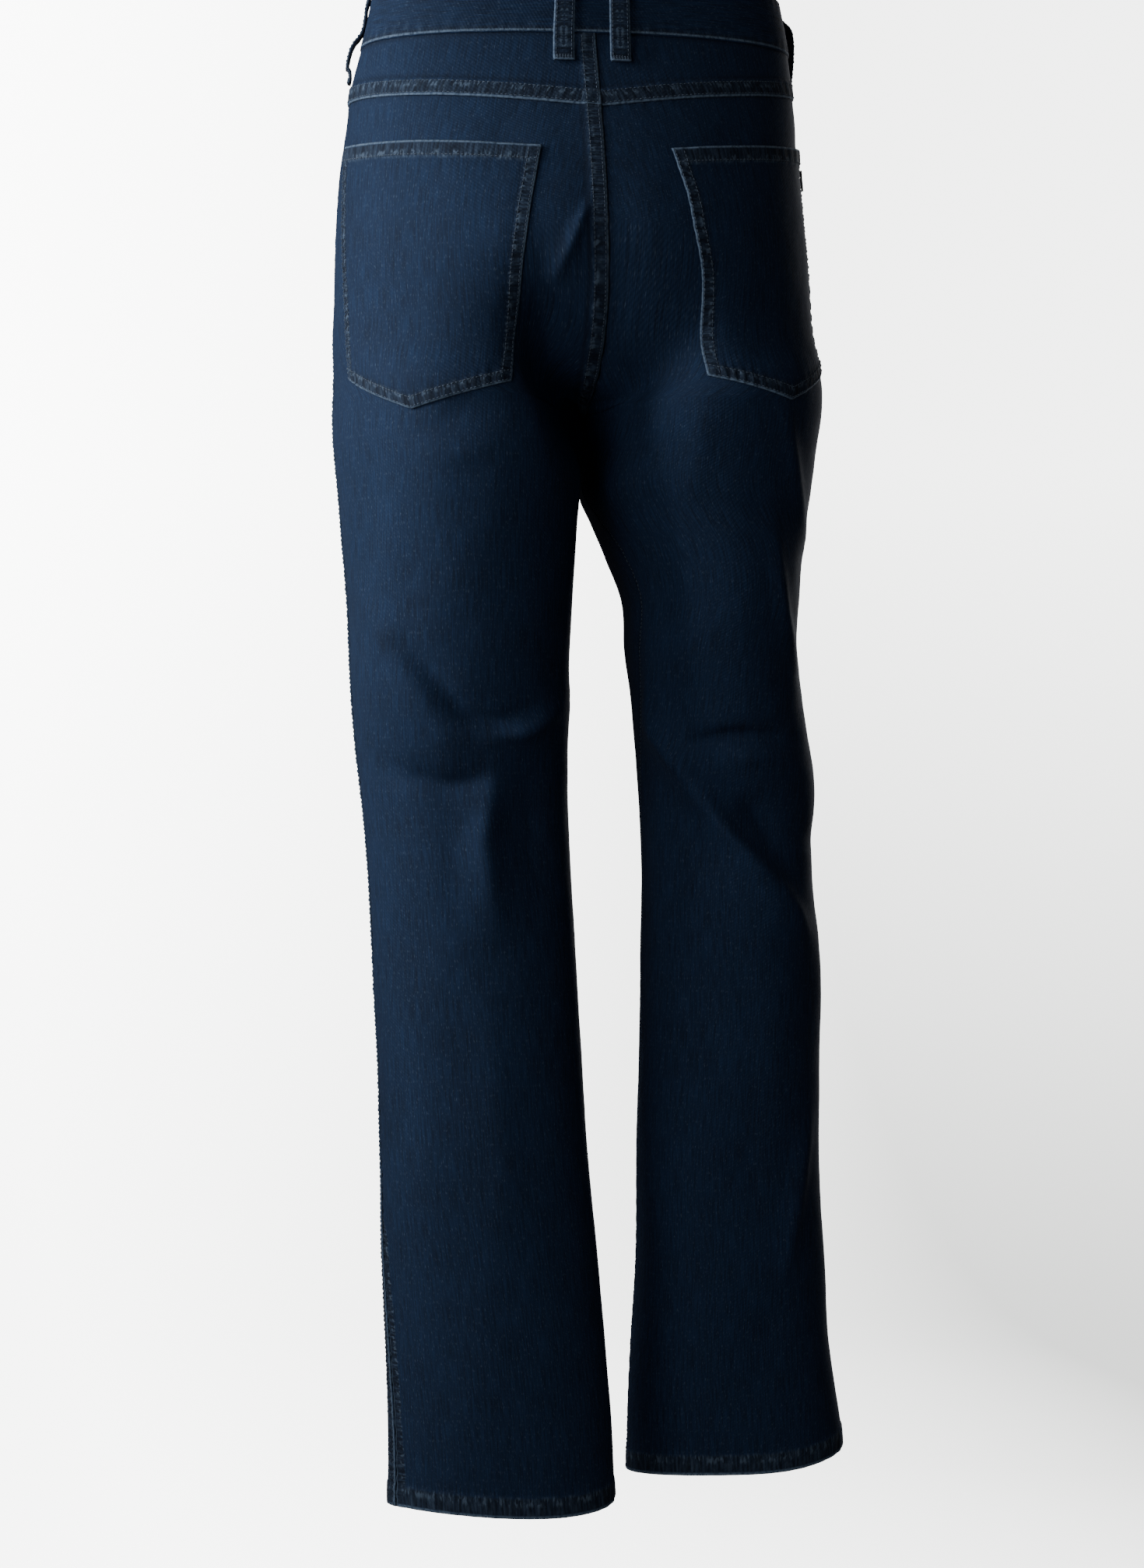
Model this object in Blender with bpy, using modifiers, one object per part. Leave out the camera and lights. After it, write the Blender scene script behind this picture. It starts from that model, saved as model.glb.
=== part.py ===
# Slim five-pocket jeans, filled out as if worn, with nobody in them.
# Metres, +Z up. The wearer faces -Y, so +X is the wearer's left.
# The origin is the middle of the waistband's ring, where the wearer holds the jeans up.

import bisect
import math

import bmesh
import bpy
from mathutils import Vector

# Cloth and seams
CLOTH = 0.0014
SEAM_GAP = 0.0003
LAYER_GAP = 0.0003
# A wide piece bridges the hollows between the other's facets, so it stands a little further off
WIDE_GAP = 0.0010
HEM_HEIGHT = 0.0150
HEM_EXTRA_INSIDE = 0.0016
HEM_EXTRA_OUTSIDE = 0.0005

# Waist, yoke and fork heights
WAIST_TOP = 0.0195
WAIST_SEAM = -0.0185
YOKE_AT_CENTRE = -0.0705
YOKE_AT_SIDE = {"left": -0.0555, "right": -0.0465}
YOKE_FOLD = 0.0105
YOKE_FOLD_RAISE = 0.0007
CROTCH = -0.2650
FORK_RISE = 0.0750
FORK_TOP = CROTCH + FORK_RISE
FORK_RISE_AT_BACK = 0.1150
FORK_RISE_AT_FRONT = 0.0650
# The middle seam leans a little towards the wearer's right on its way down
LEAN = -0.0070
LEAN_FROM = -0.1400
LEAN_AT_SIDE = 0.10
LEAN_SPREAD = 0.07
# The waist's own lean, at the sides and at the middle
LEAN_AT_WAIST = (-0.0036, -0.0004)
# The hips stand a little to the wearer's left of the waist, between these heights
HIP_SHIFT = 0.0026
HIP_TOP = (-0.0600, -0.1100)
HIP_FOOT = (-0.2500, -0.2100)

# The photograph is taken from behind, a little to the wearer's left
PHOTO_YAW = math.radians(10.0)

# Angles on a section: 0 at the widest side, 90 at the back, 180 at the inside of the leg
SIDE_SEAM_ANGLE = -12.0
SQUARENESS = 0.035

TORSO_COLUMNS = ("z", "half_width", "back", "front", "seat_dip")
TORSO = (
    (0.0300, 0.1395, 0.0870, 0.0880, 0.00),
    (0.0000, 0.1450, 0.0880, 0.0900, 0.00),
    (-0.0200, 0.1495, 0.0900, 0.0920, 0.00),
    (-0.0500, 0.1545, 0.1040, 0.0950, 0.00),
    (-0.1000, 0.1585, 0.1270, 0.0990, 0.01),
    (-0.1500, 0.1620, 0.1430, 0.1000, 0.03),
    (-0.2000, 0.1642, 0.1420, 0.1000, 0.05),
    (-0.2350, 0.1655, 0.1340, 0.0990, 0.07),
    (-0.2650, 0.1685, 0.1240, 0.0980, 0.08),
)

# centre_x is measured from the middle seam towards the leg's own side
LEG_COLUMNS = ("z", "centre_x", "centre_y", "half_width", "back", "front", "outseam", "inseam")
LEGS = {
    "left": (
        (-0.1500, 0.0815, 0.0040, 0.0815, 0.1330, 0.1040, -12, 180),
        (-0.2000, 0.0828, 0.0040, 0.0828, 0.1310, 0.1040, -12, 180),
        (-0.2650, 0.0836, 0.0040, 0.0834, 0.1200, 0.1030, -12, 180),
        (-0.3000, 0.0846, 0.0060, 0.0844, 0.1160, 0.1010, -12, 180),
        (-0.3310, 0.0872, 0.0050, 0.0811, 0.1115, 0.1000, -12, 180),
        (-0.3960, 0.0858, 0.0000, 0.0766, 0.1010, 0.0970, -11, 180),
        (-0.4610, 0.0855, -0.0030, 0.0742, 0.0880, 0.0860, -10, 180),
        (-0.5260, 0.0815, -0.0070, 0.0714, 0.0700, 0.0730, -9, 181),
        (-0.5900, 0.0769, -0.0060, 0.0700, 0.0680, 0.0680, -8, 182),
        (-0.6550, 0.0740, -0.0030, 0.0697, 0.0640, 0.0640, -8, 184),
        (-0.7200, 0.0712, 0.0000, 0.0704, 0.0610, 0.0600, -7, 186),
        (-0.7850, 0.0690, 0.0030, 0.0718, 0.0590, 0.0580, -4, 189),
        (-0.8500, 0.0651, 0.0050, 0.0743, 0.0560, 0.0550, 3, 193),
        (-0.9140, 0.0614, 0.0070, 0.0762, 0.0530, 0.0520, 11, 196),
        (-0.9790, 0.0586, 0.0080, 0.0780, 0.0500, 0.0490, 18, 199),
        (-1.0240, 0.0578, 0.0080, 0.0794, 0.0480, 0.0470, 22, 200),
    ),
    "right": (
        (-0.1500, 0.0815, 0.0040, 0.0815, 0.1330, 0.1040, -12, 180),
        (-0.2000, 0.0828, 0.0040, 0.0828, 0.1310, 0.1040, -12, 180),
        (-0.2650, 0.0848, 0.0020, 0.0846, 0.1200, 0.1030, -12, 180),
        (-0.3000, 0.0826, -0.0080, 0.0824, 0.1160, 0.1030, -12, 180),
        (-0.3210, 0.0817, -0.0110, 0.0794, 0.1120, 0.1040, -12, 179),
        (-0.3400, 0.0843, -0.0120, 0.0729, 0.1070, 0.1040, -12, 173),
        (-0.3620, 0.0885, -0.0140, 0.0670, 0.1060, 0.1050, -12, 163),
        (-0.3950, 0.0943, -0.0177, 0.0590, 0.1030, 0.1030, -12, 161),
        (-0.4300, 0.0955, -0.0246, 0.0570, 0.0970, 0.0980, -12, 165),
        (-0.4600, 0.1009, -0.0318, 0.0575, 0.0910, 0.0930, -11, 170),
        (-0.5260, 0.1107, -0.0422, 0.0618, 0.0780, 0.0780, -10, 180),
        (-0.5920, 0.1127, -0.0479, 0.0598, 0.0735, 0.0730, -10, 184),
        (-0.6580, 0.1163, -0.0514, 0.0639, 0.0680, 0.0680, -10, 185),
        (-0.7250, 0.1161, -0.0545, 0.0637, 0.0650, 0.0650, -10, 186),
        (-0.7920, 0.1154, -0.0576, 0.0645, 0.0620, 0.0620, -10, 187),
        (-0.8580, 0.1172, -0.0593, 0.0670, 0.0600, 0.0600, -10, 188),
        (-0.9250, 0.1175, -0.0613, 0.0710, 0.0560, 0.0560, -10, 189),
        (-0.9920, 0.1215, -0.0637, 0.0772, 0.0510, 0.0510, -10, 190),
        (-1.0090, 0.1220, -0.0640, 0.0778, 0.0505, 0.0500, -10, 190),
    ),
}
# Each hem slants: how much higher than z it is on the outside and the inside of the leg, and at the front
HEM = {
    "left": {"z": -1.0240, "outside": 0.0070, "inside": 0.0095, "front": 0.0040},
    "right": {"z": -1.0090, "outside": 0.0150, "inside": -0.0015, "front": 0.0040},
}

# How pointed the thigh section is where it meets the crotch, and how fast that fades below it
CROTCH_POINT = 0.75
CROTCH_NARROWING = 0.40
CROTCH_FADE_FROM = -0.2700
CROTCH_FADE = 0.0600
# Below the crotch one leg stands a little before the other, and this is where that comes in
STRIDE_FADE = (0.0040, 0.0300)

# Folds. A fold runs through three points, each across (to the right in a view from behind) and up.
# Depth below 0 is a trough and above 0 a ridge.
FOLD_ENDS = 0.12
FOLD_COLUMNS = ("side", "x0", "z0", "x1", "z1", "x2", "z2", "width", "depth")
BACK_FOLDS = (
    ("left", -0.0240, -0.1990, -0.0120, -0.2300, 0.0020, -0.3000, 0.0120, -0.0060),
    ("left", 0.0040, -0.1520, -0.0020, -0.1720, -0.0130, -0.1960, 0.0065, 0.0035),
    ("left", -0.0120, -0.1480, -0.0190, -0.1700, -0.0230, -0.1950, 0.0075, -0.0030),
    ("left", -0.0930, -0.2850, -0.0700, -0.2750, -0.0400, -0.2780, 0.0120, -0.0025),
    ("left", -0.1110, -0.4330, -0.0820, -0.4680, -0.0500, -0.4870, 0.0130, -0.0075),
    ("left", -0.1230, -0.4350, -0.0850, -0.4880, -0.0440, -0.4960, 0.0150, 0.0045),
    ("left", -0.0440, -0.4930, -0.0240, -0.4860, -0.0080, -0.4620, 0.0110, 0.0050),
    ("left", -0.1150, -0.5130, -0.0860, -0.5250, -0.0560, -0.5180, 0.0090, -0.0035),
    ("left", -0.0530, -0.5130, -0.0600, -0.5700, -0.0530, -0.6200, 0.0140, 0.0060),
    ("left", -0.0260, -0.5150, -0.0250, -0.5650, -0.0200, -0.6200, 0.0200, -0.0060),
    ("right", 0.0830, -0.1960, 0.0740, -0.2600, 0.0620, -0.3300, 0.0140, -0.0030),
    ("right", 0.1420, -0.2620, 0.1500, -0.3100, 0.1600, -0.3600, 0.0060, 0.0025),
    ("right", 0.1360, -0.3450, 0.1430, -0.4050, 0.1540, -0.4600, 0.0060, 0.0030),
    ("right", 0.0500, -0.4760, 0.0850, -0.5310, 0.1240, -0.5820, 0.0110, 0.0060),
    ("right", 0.0520, -0.4970, 0.0780, -0.5480, 0.1080, -0.5950, 0.0160, -0.0035),
    ("right", 0.0830, -0.4990, 0.1150, -0.4940, 0.1540, -0.4930, 0.0080, -0.0045),
    ("right", 0.1120, -0.5410, 0.1380, -0.5460, 0.1650, -0.5600, 0.0150, -0.0070),
    ("right", 0.1240, -0.5820, 0.1420, -0.6050, 0.1600, -0.6300, 0.0120, 0.0045),
    ("right", 0.1660, -0.7480, 0.1560, -0.8100, 0.1500, -0.8700, 0.0060, 0.0030),
    ("right", 0.1420, -0.8750, 0.1320, -0.9100, 0.1380, -0.9500, 0.0160, -0.0025),
)
# The photograph doesn't show the front: its folds are of the same kinds and sizes
FRONT_FOLDS = (
    ("left", -0.1200, -0.2000, -0.0750, -0.2180, -0.0250, -0.2280, 0.0090, -0.0035),
    ("left", -0.1250, -0.2350, -0.0800, -0.2420, -0.0350, -0.2380, 0.0080, 0.0025),
    ("left", -0.1200, -0.4750, -0.0800, -0.4950, -0.0250, -0.4850, 0.0120, -0.0045),
    ("left", -0.1150, -0.5450, -0.0750, -0.5580, -0.0350, -0.5480, 0.0110, -0.0035),
    ("left", -0.1000, -0.9000, -0.0650, -0.9150, -0.0250, -0.9050, 0.0120, -0.0030),
    ("right", 0.1250, -0.2050, 0.0850, -0.2200, 0.0300, -0.2300, 0.0090, -0.0035),
    ("right", 0.1350, -0.2500, 0.0950, -0.2520, 0.0450, -0.2420, 0.0080, 0.0025),
    ("right", 0.1500, -0.4900, 0.1100, -0.5100, 0.0750, -0.5000, 0.0120, -0.0050),
    ("right", 0.1650, -0.5600, 0.1200, -0.5780, 0.0850, -0.5650, 0.0110, -0.0035),
    ("right", 0.1600, -0.8850, 0.1250, -0.9000, 0.0900, -0.8900, 0.0120, -0.0030),
)

# Back patch pockets: distances along the cloth from the side seam, and heights
POCKET_ALONG = {
    "left": {
        "top_outer": 0.0360,
        "foot_outer": 0.0630,
        "tip": 0.1350,
    },
    "right": {
        "top_outer": 0.0400,
        "foot_outer": 0.0700,
        "tip": 0.1420,
    },
}
# The same distance for its inner edge, by share of the way down it, for the left and the right pocket
POCKET_INNER_COLUMNS = ("down", "left", "right")
POCKET_INNER = (
    (0.00, 0.2090, 0.2030),
    (0.19, 0.2125, 0.2045),
    (0.38, 0.2130, 0.2060),
    (0.61, 0.2070, 0.1990),
    (0.80, 0.2035, 0.1955),
    (1.00, 0.2050, 0.2005),
)
POCKET_HEIGHTS = {
    "left": {
        "top_outer": -0.0890,
        "top_inner": -0.1000,
        "foot_outer": -0.2500,
        "tip": -0.2750,
        "foot_inner": -0.2560,
    },
    "right": {
        "top_outer": -0.0840,
        "top_inner": -0.1000,
        "foot_outer": -0.2390,
        "tip": -0.2650,
        "foot_inner": -0.2510,
    },
}
POCKET_HEM = 0.0110
POCKET_HEM_RAISE = 0.0008
POCKET_CLOTH = 0.0012
POCKET_GAP = 0.0016
TAB_WIDTH = 0.0060
TAB_HEIGHT = 0.0150
TAB_BELOW_MOUTH = 0.0140
TAB_CLOTH = 0.0012

# Belt loops: where they stand round the waist (angle from the front, towards the left), and their form
LOOP_WIDTH = 0.0138
LOOP_TOP = 0.0180
LOOP_CLOTH = 0.0016
LOOP_ENDS = 0.0075
LOOP_FOOT_OUT = 0.0010
LOOP_TOP_LIFT = 0.0012
LOOP_FOOT_LIFT = 0.0016
LOOP_CROWN = 0.0004
LOOPS = {
    "loop_back_left": {"angle": 171.4, "foot": -0.0400, "room": 0.0055, "low": 0.0053, "bend": 0.0023},
    "loop_back_right": {"angle": -174.2, "foot": -0.0400, "room": 0.0055, "low": 0.0053, "bend": 0.0023},
    "loop_side_left": {"angle": 84.0, "foot": -0.0420, "room": 0.0008, "low": 0.0046, "bend": 0.0040},
    "loop_side_right": {"angle": -84.0, "foot": -0.0400, "room": 0.0066, "low": 0.0048, "bend": 0.0020},
    "loop_front_left": {"angle": 44.0, "foot": -0.0400, "room": 0.0055, "low": 0.0053, "bend": 0.0023},
    "loop_front_right": {"angle": -44.0, "foot": -0.0400, "room": 0.0055, "low": 0.0053, "bend": 0.0023},
}

# Waistband
BAND_OUT = 0.0009
BAND_IN = 0.0021
BAND_LAP_ANGLE = 16.0
BAND_LAP_CENTRE = -4.0
BAND_STEPS = 72
BAND_EDGE = 0.0130
# The left end climbs over the right one between these places, in lap angles from its own end
BAND_CLIMB = (1.05, 1.55)

# Front: scooped pocket mouths, fly, zip and button
SCOOP_TOP = 0.44
SCOOP_FOOT = -0.1000
SCOOP_ROWS = 7
FACING_OVERLAP = 0.10
FACING_BELOW = 0.0120
FACING_CLOTH = 0.0010
FLY_FOOT = -0.1500
FLY_WIDTH = 0.0380
FLY_LAP = 0.0040
FLY_CLOTH = 0.0011
ZIP_WIDTH = 0.0240
ZIP_TOP = -0.0240
ZIP_FOOT = -0.1450
ZIP_TAPE = 0.0010
ZIP_CHAIN_WIDTH = 0.0060
ZIP_CHAIN = 0.0012
BUTTON_RADIUS = 0.0085
BUTTON_HEIGHT = 0.0042

# About how wide a panel is below and above the crotch, which turns a seam's gap into a share of it
PANEL_WIDTH_BELOW = 0.20
PANEL_WIDTH_ABOVE = 0.24

# Shares of a panel's width: where the fork's dip starts, where a seam's own direction takes over from the
# panel's, and the last place where a direction is read from the panel itself
DIP_FROM = 0.2
SEAM_FROM = 0.94
SEAM_AT = 0.995

# Grid sizes
PANEL_COLUMNS = {"back": 12, "front": 10}
TORSO_ROWS = 6
FORK_ROWS = 8
# Leg rows, closest together where the knee folds lie: how many, down to which height (None is the hem)
LEG_ROWS = ((8, -0.4200), (13, -0.6200), (9, None))
POCKET_COLUMNS = 12
POCKET_ROWS = 13

SIGN = {"left": 1.0, "right": -1.0}

COLOURS = {
    "denim": ((0.016, 0.035, 0.085, 1.0), 0.85, 0.0),
    "tab_cloth": ((0.012, 0.012, 0.014, 1.0), 0.8, 0.0),
    "metal": ((0.55, 0.50, 0.44, 1.0), 0.35, 1.0),
    "zip_cloth": ((0.02, 0.03, 0.06, 1.0), 0.8, 0.0),
}


def clear_scene():
    for item in list(bpy.data.objects):
        bpy.data.objects.remove(item, do_unlink=True)


def material(name):
    found = bpy.data.materials.get(name)
    if found:
        return found
    made = bpy.data.materials.new(name)
    made.use_nodes = True
    colour, roughness, metallic = COLOURS[name]
    shader = made.node_tree.nodes["Principled BSDF"]
    shader.inputs["Base Color"].default_value = colour
    shader.inputs["Roughness"].default_value = roughness
    shader.inputs["Metallic"].default_value = metallic
    return made


def clamp(value, low, high):
    return max(low, min(high, value))


def mix(a, b, share):
    return a + (b - a) * share


def smooth(low, high, value):
    share = clamp((value - low) / (high - low), 0.0, 1.0)
    return share * share * (3.0 - 2.0 * share)


def read_row(table, columns, z):
    """The named values of a section table at height z, on a smooth curve through its rows."""
    rows = sorted(table)
    heights = [row[0] for row in rows]
    z = clamp(z, heights[0], heights[-1])
    i = clamp(bisect.bisect_right(heights, z) - 1, 0, len(rows) - 2)
    low, high = rows[i], rows[i + 1]
    before, after = rows[max(i - 1, 0)], rows[min(i + 2, len(rows) - 1)]
    step = high[0] - low[0]
    t = (z - low[0]) / step
    values = {}
    for k, name in enumerate(columns[1:], start=1):
        slope_low = (high[k] - before[k]) / (high[0] - before[0]) * step
        slope_high = (after[k] - low[k]) / (after[0] - low[0]) * step
        values[name] = (
            (2 * t**3 - 3 * t**2 + 1) * low[k]
            + (t**3 - 2 * t**2 + t) * slope_low
            + (3 * t**2 - 2 * t**3) * high[k]
            + (t**3 - t**2) * slope_high
        )
    return values


def torso_point(u, z):
    """Half of the torso section. u is 0 at the side seam, 1 at the centre back, -1 at the centre front."""
    row = read_row(TORSO, TORSO_COLUMNS, z)
    reach = 90.0 - SIDE_SEAM_ANGLE if u > 0 else 90.0 + SIDE_SEAM_ANGLE
    angle = math.radians(SIDE_SEAM_ANGLE + reach * u)
    square = 1.0 + SQUARENESS * math.sin(2 * angle) ** 2
    x = row["half_width"] * math.cos(angle) * square
    depth = row["back"] if angle > 0 else row["front"]
    y = depth * math.sin(angle) * square
    if angle > 0:
        y *= 1.0 - row["seat_dip"] * math.exp(-((x / 0.030) ** 2))
    return x, y


def leg_point(side, u, z):
    """The leg section, on its own side. u is 0 at the outseam, and 1 and -1 at the inseam."""
    row = read_row(LEGS[side], LEG_COLUMNS, z)
    if u > 0:
        degrees = mix(row["outseam"], row["inseam"], u)
    else:
        degrees = mix(row["outseam"], row["inseam"] - 360.0, -u)
    angle = math.radians(degrees)
    square = 1.0 + SQUARENESS * math.sin(2 * angle) ** 2
    across, deep = math.cos(angle), math.sin(angle)
    turned = min(abs(degrees), 360.0 - abs(degrees))
    inner = smooth(90.0, 180.0, turned)
    near = 1.0 - smooth(0.0, CROTCH_FADE, CROTCH_FADE_FROM - z)
    across += CROTCH_POINT * near * inner * (1.0 - 2.0 * turned / 180.0 - across)
    deep *= 1.0 - CROTCH_NARROWING * near * smooth(115.0, 180.0, turned)
    x = row["half_width"] * across * square
    y = (row["back"] if deep > 0 else row["front"]) * deep * square
    stride = mix(1.0, smooth(*STRIDE_FADE, CROTCH - z), inner)
    return row["centre_x"] + x, row["centre_y"] * stride + y


def lean(u, z):
    """How far the middle seam's lean moves the cloth. The hips follow it only in part, the legs wholly."""
    at_side = mix(LEAN_AT_SIDE, 1.0, smooth(0.0, LEAN_SPREAD, CROTCH - z))
    below = LEAN * smooth(-LEAN_FROM, -CROTCH, -z) * mix(at_side, 1.0, abs(u))
    hips = HIP_SHIFT * smooth(*HIP_TOP, z) * smooth(*HIP_FOOT, z) * (1.0 - abs(u))
    waist = mix(*LEAN_AT_WAIST, abs(u)) * smooth(YOKE_AT_SIDE["left"], 0.0, z)
    return below + hips + waist


def row_height(side, u, h):
    """A row's real height at u. Rows are level, but dip to follow the fork, and the hem slants."""
    rise = FORK_RISE_AT_BACK if u > 0 else FORK_RISE_AT_FRONT
    if h >= FORK_TOP:
        fade = clamp((YOKE_AT_CENTRE - h) / (YOKE_AT_CENTRE - FORK_TOP), 0.0, 1.0)
        return h + (rise - FORK_RISE) * fade * smooth(DIP_FROM, 1.0, abs(u))
    if h > CROTCH:
        share = (h - CROTCH) / FORK_RISE
        inner = CROTCH + rise * (1.0 - math.cos(share * math.pi / 2))
        return mix(h, inner, smooth(DIP_FROM, 1.0, abs(u)))
    hem = HEM[side]
    turn = math.cos(math.pi * abs(u))
    end = hem["outside"] if turn > 0 else hem["inside"]
    middle = 0.0 if u > 0 else hem["front"]
    return h + smooth(-0.75, hem["z"], h) * mix(middle, end, turn * turn)


def base_point(side, u, h):
    """A point of the smooth garment, before its folds."""
    z = row_height(side, u, h)
    if h >= FORK_TOP:
        x, y = torso_point(u, z)
    elif h <= CROTCH:
        x, y = leg_point(side, u, h)
    else:
        climb = (h - CROTCH) / FORK_RISE
        share = mix(smooth(0.0, 1.0, climb), math.sin(climb * math.pi / 2), smooth(0.6, 1.0, abs(u)))
        torso_x, torso_y = torso_point(u, z)
        leg_x, leg_y = leg_point(side, u, z)
        x, y = mix(leg_x, torso_x, share), mix(leg_y, torso_y, share)
    return Vector((lean(u, z) + SIGN[side] * x, y, z))


def raw_normal(side, u, h):
    step_u, step_h = 0.004, 0.0015
    u_low, u_high = max(u - step_u, -1.0), min(u + step_u, 1.0)
    along = base_point(side, u_high, h) - base_point(side, u_low, h)
    up = base_point(side, u, h + step_h) - base_point(side, u, max(h - step_h, HEM[side]["z"]))
    return (along.cross(up) * SIGN[side]).normalized()


def normal(side, u, h):
    """The outward direction of the smooth garment. At a seam it is shared by the pieces on both sides."""
    if abs(u) < 1.0 - 1e-6:
        found = raw_normal(side, u, h)
        if abs(u) > SEAM_FROM:
            edge = normal(side, math.copysign(1.0, u), h)
            found = found.lerp(edge, smooth(SEAM_FROM, 1.0, abs(u))).normalized()
        return found
    found = raw_normal(side, math.copysign(SEAM_AT, u), h)
    if h > CROTCH:
        found.x = 0.0
        share = (h - CROTCH) / FORK_RISE
        if share < 1.0:
            # the fork curve lies in the middle plane, so its own direction gives the way out
            back = 1.0 if u > 0 else -1.0
            found = Vector((0.0, back * math.sin(share * math.pi / 2), -math.cos(share * math.pi / 2)))
        return found.normalized()
    other = raw_normal(side, -math.copysign(SEAM_AT, u), h)
    both = (found + other).normalized()
    below = smooth(0.0, 0.03, CROTCH - h)
    return Vector((0.0, 0.0, -1.0)).lerp(both, below).normalized()


def view_across(point):
    """How far right a point stands in the photograph, which is taken from behind."""
    return -math.cos(PHOTO_YAW) * point.x + math.sin(PHOTO_YAW) * point.y


def run_distance(spot, start, end, offset):
    """(distance, place) of a spot from one straight half of a fold. The place runs from offset, by a half."""
    run = end - start
    share = clamp((spot - start).dot(run) / run.length_squared, 0.0, 1.0)
    return (spot - start - run * share).length, offset + share / 2


def fold_height(side, u, point):
    """How far the folds lift the cloth there. Each is a soft ridge or trough along a bent line."""
    total = 0.0
    back = u > 0
    across = view_across(point) if back else -point.x
    for row in BACK_FOLDS if back else FRONT_FOLDS:
        fold = dict(zip(FOLD_COLUMNS, row))
        reach = 3 * fold["width"]
        low, high = min(fold["z0"], fold["z2"]) - reach, max(fold["z0"], fold["z2"]) + reach
        if fold["side"] != side or not low < point.z < high:
            continue
        start, bend, end = (Vector((fold[f"x{k}"], fold[f"z{k}"])) for k in range(3))
        nearest, where = min(
            run_distance(Vector((across, point.z)), start, bend, 0.0),
            run_distance(Vector((across, point.z)), bend, end, 0.5),
        )
        strength = math.sin(math.pi * mix(FOLD_ENDS, 1.0 - FOLD_ENDS, where))
        total += fold["depth"] * math.exp(-((nearest / fold["width"]) ** 2)) * strength
    return total * smooth(0.0, 0.10, abs(u)) * (1.0 - smooth(0.93, 1.0, abs(u)))


def surface(side, u, h, lift=0.0):
    """A point of the garment's outer face, lifted along the way out."""
    point = base_point(side, u, h)
    point += normal(side, u, h) * (fold_height(side, u, point) + lift)
    if h > CROTCH - 0.06:
        least = SEAM_GAP / 2
        middle = lean(1.0, point.z)
        point.x = middle + SIGN[side] * max(SIGN[side] * (point.x - middle), least)
    return point


def height_row(side, u, z):
    """The row whose real height at u is z."""
    low, high = z - 0.06, z + 0.02
    for _ in range(30):
        middle = (low + high) / 2
        if row_height(side, u, middle) < z:
            low = middle
        else:
            high = middle
    return (low + high) / 2


def along_back(side, z, distance):
    """(u, h) at a distance along the back's cloth from the side seam, at height z."""
    steps = 80
    walked = 0.0
    last = None
    for i in range(steps + 1):
        u = i / steps
        point = base_point(side, u, height_row(side, u, z))
        if last is not None:
            pace = (point - last).length
            if walked + pace >= distance:
                u = (i - 1 + (distance - walked) / pace) / steps
                break
            walked += pace
        last = point
    return u, height_row(side, u, z)


def mesh_object(name, points, faces, colour):
    mesh = bpy.data.meshes.new(name)
    mesh.from_pydata(points, [], faces)
    mesh.update()
    shaper = bmesh.new()
    shaper.from_mesh(mesh)
    bmesh.ops.recalc_face_normals(shaper, faces=shaper.faces)
    shaper.to_mesh(mesh)
    shaper.free()
    mesh.materials.append(material(colour))
    mesh.shade_smooth()
    mesh.set_sharp_from_angle(angle=math.radians(40))
    made = bpy.data.objects.new(name, mesh)
    PARTS.objects.link(made)
    return made


def wall(name, outer, inner, colour="denim"):
    """A closed wall between two matching grids of points, one row after another."""
    rows, columns = len(outer), len(outer[0])
    points = [p for row in outer for p in row] + [p for row in inner for p in row]
    behind = rows * columns

    def at(i, j):
        return i * columns + j

    faces = []
    for i in range(rows - 1):
        for j in range(columns - 1):
            quad = (at(i, j), at(i, j + 1), at(i + 1, j + 1), at(i + 1, j))
            faces.append(quad)
            faces.append(tuple(behind + k for k in reversed(quad)))
    rim = [at(0, j) for j in range(columns)]
    rim += [at(i, columns - 1) for i in range(1, rows)]
    rim += [at(rows - 1, j) for j in range(columns - 2, -1, -1)]
    rim += [at(i, 0) for i in range(rows - 2, 0, -1)]
    for k, a in enumerate(rim):
        b = rim[(k + 1) % len(rim)]
        faces.append((b, a, behind + a, behind + b))
    return mesh_object(name, points, faces, colour)


def yoke_edge(side, u):
    return mix(YOKE_AT_SIDE[side], YOKE_AT_CENTRE, abs(u) ** 1.8)


def scoop_edge(z):
    """How far from the side seam the front pocket's mouth stands at a height, as a share of the front."""
    share = clamp((WAIST_SEAM - z) / (WAIST_SEAM - SCOOP_FOOT), 0.0, 1.0)
    return SCOOP_TOP * math.sqrt(max(1.0 - share**2, 0.0))


def leg_heights(side):
    """Row heights from the crotch to the hem, with two for the hem's step."""
    foot = HEM[side]["z"] + HEM_HEIGHT
    heights, top = [], CROTCH
    for count, height in LEG_ROWS:
        end = foot if height is None else height
        heights += [mix(top, end, i / count) for i in range(1, count + 1)]
        top = end
    return heights + [foot - 0.0008, HEM[side]["z"]]


def seam_share(side, h):
    """Half of a seam's gap as a share of the panel's width."""
    return SEAM_GAP / 2 / (PANEL_WIDTH_BELOW if h < CROTCH else PANEL_WIDTH_ABOVE)


def hem_layers(side, h):
    """(outside, inside) thickness added by the turned-up hem."""
    if h < HEM[side]["z"] + HEM_HEIGHT - 0.0004:
        return HEM_EXTRA_OUTSIDE, HEM_EXTRA_INSIDE
    return 0.0, 0.0


def level_row(side, face, h, start=0.0):
    """One row of a panel as (u, h), from the side seam, or from a start further in, to the inner seam."""
    gap = seam_share(side, h)
    columns = PANEL_COLUMNS["back" if face > 0 else "front"]
    return [(face * mix(max(gap, start), 1.0 - gap, j / columns), h) for j in range(columns + 1)]


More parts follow.
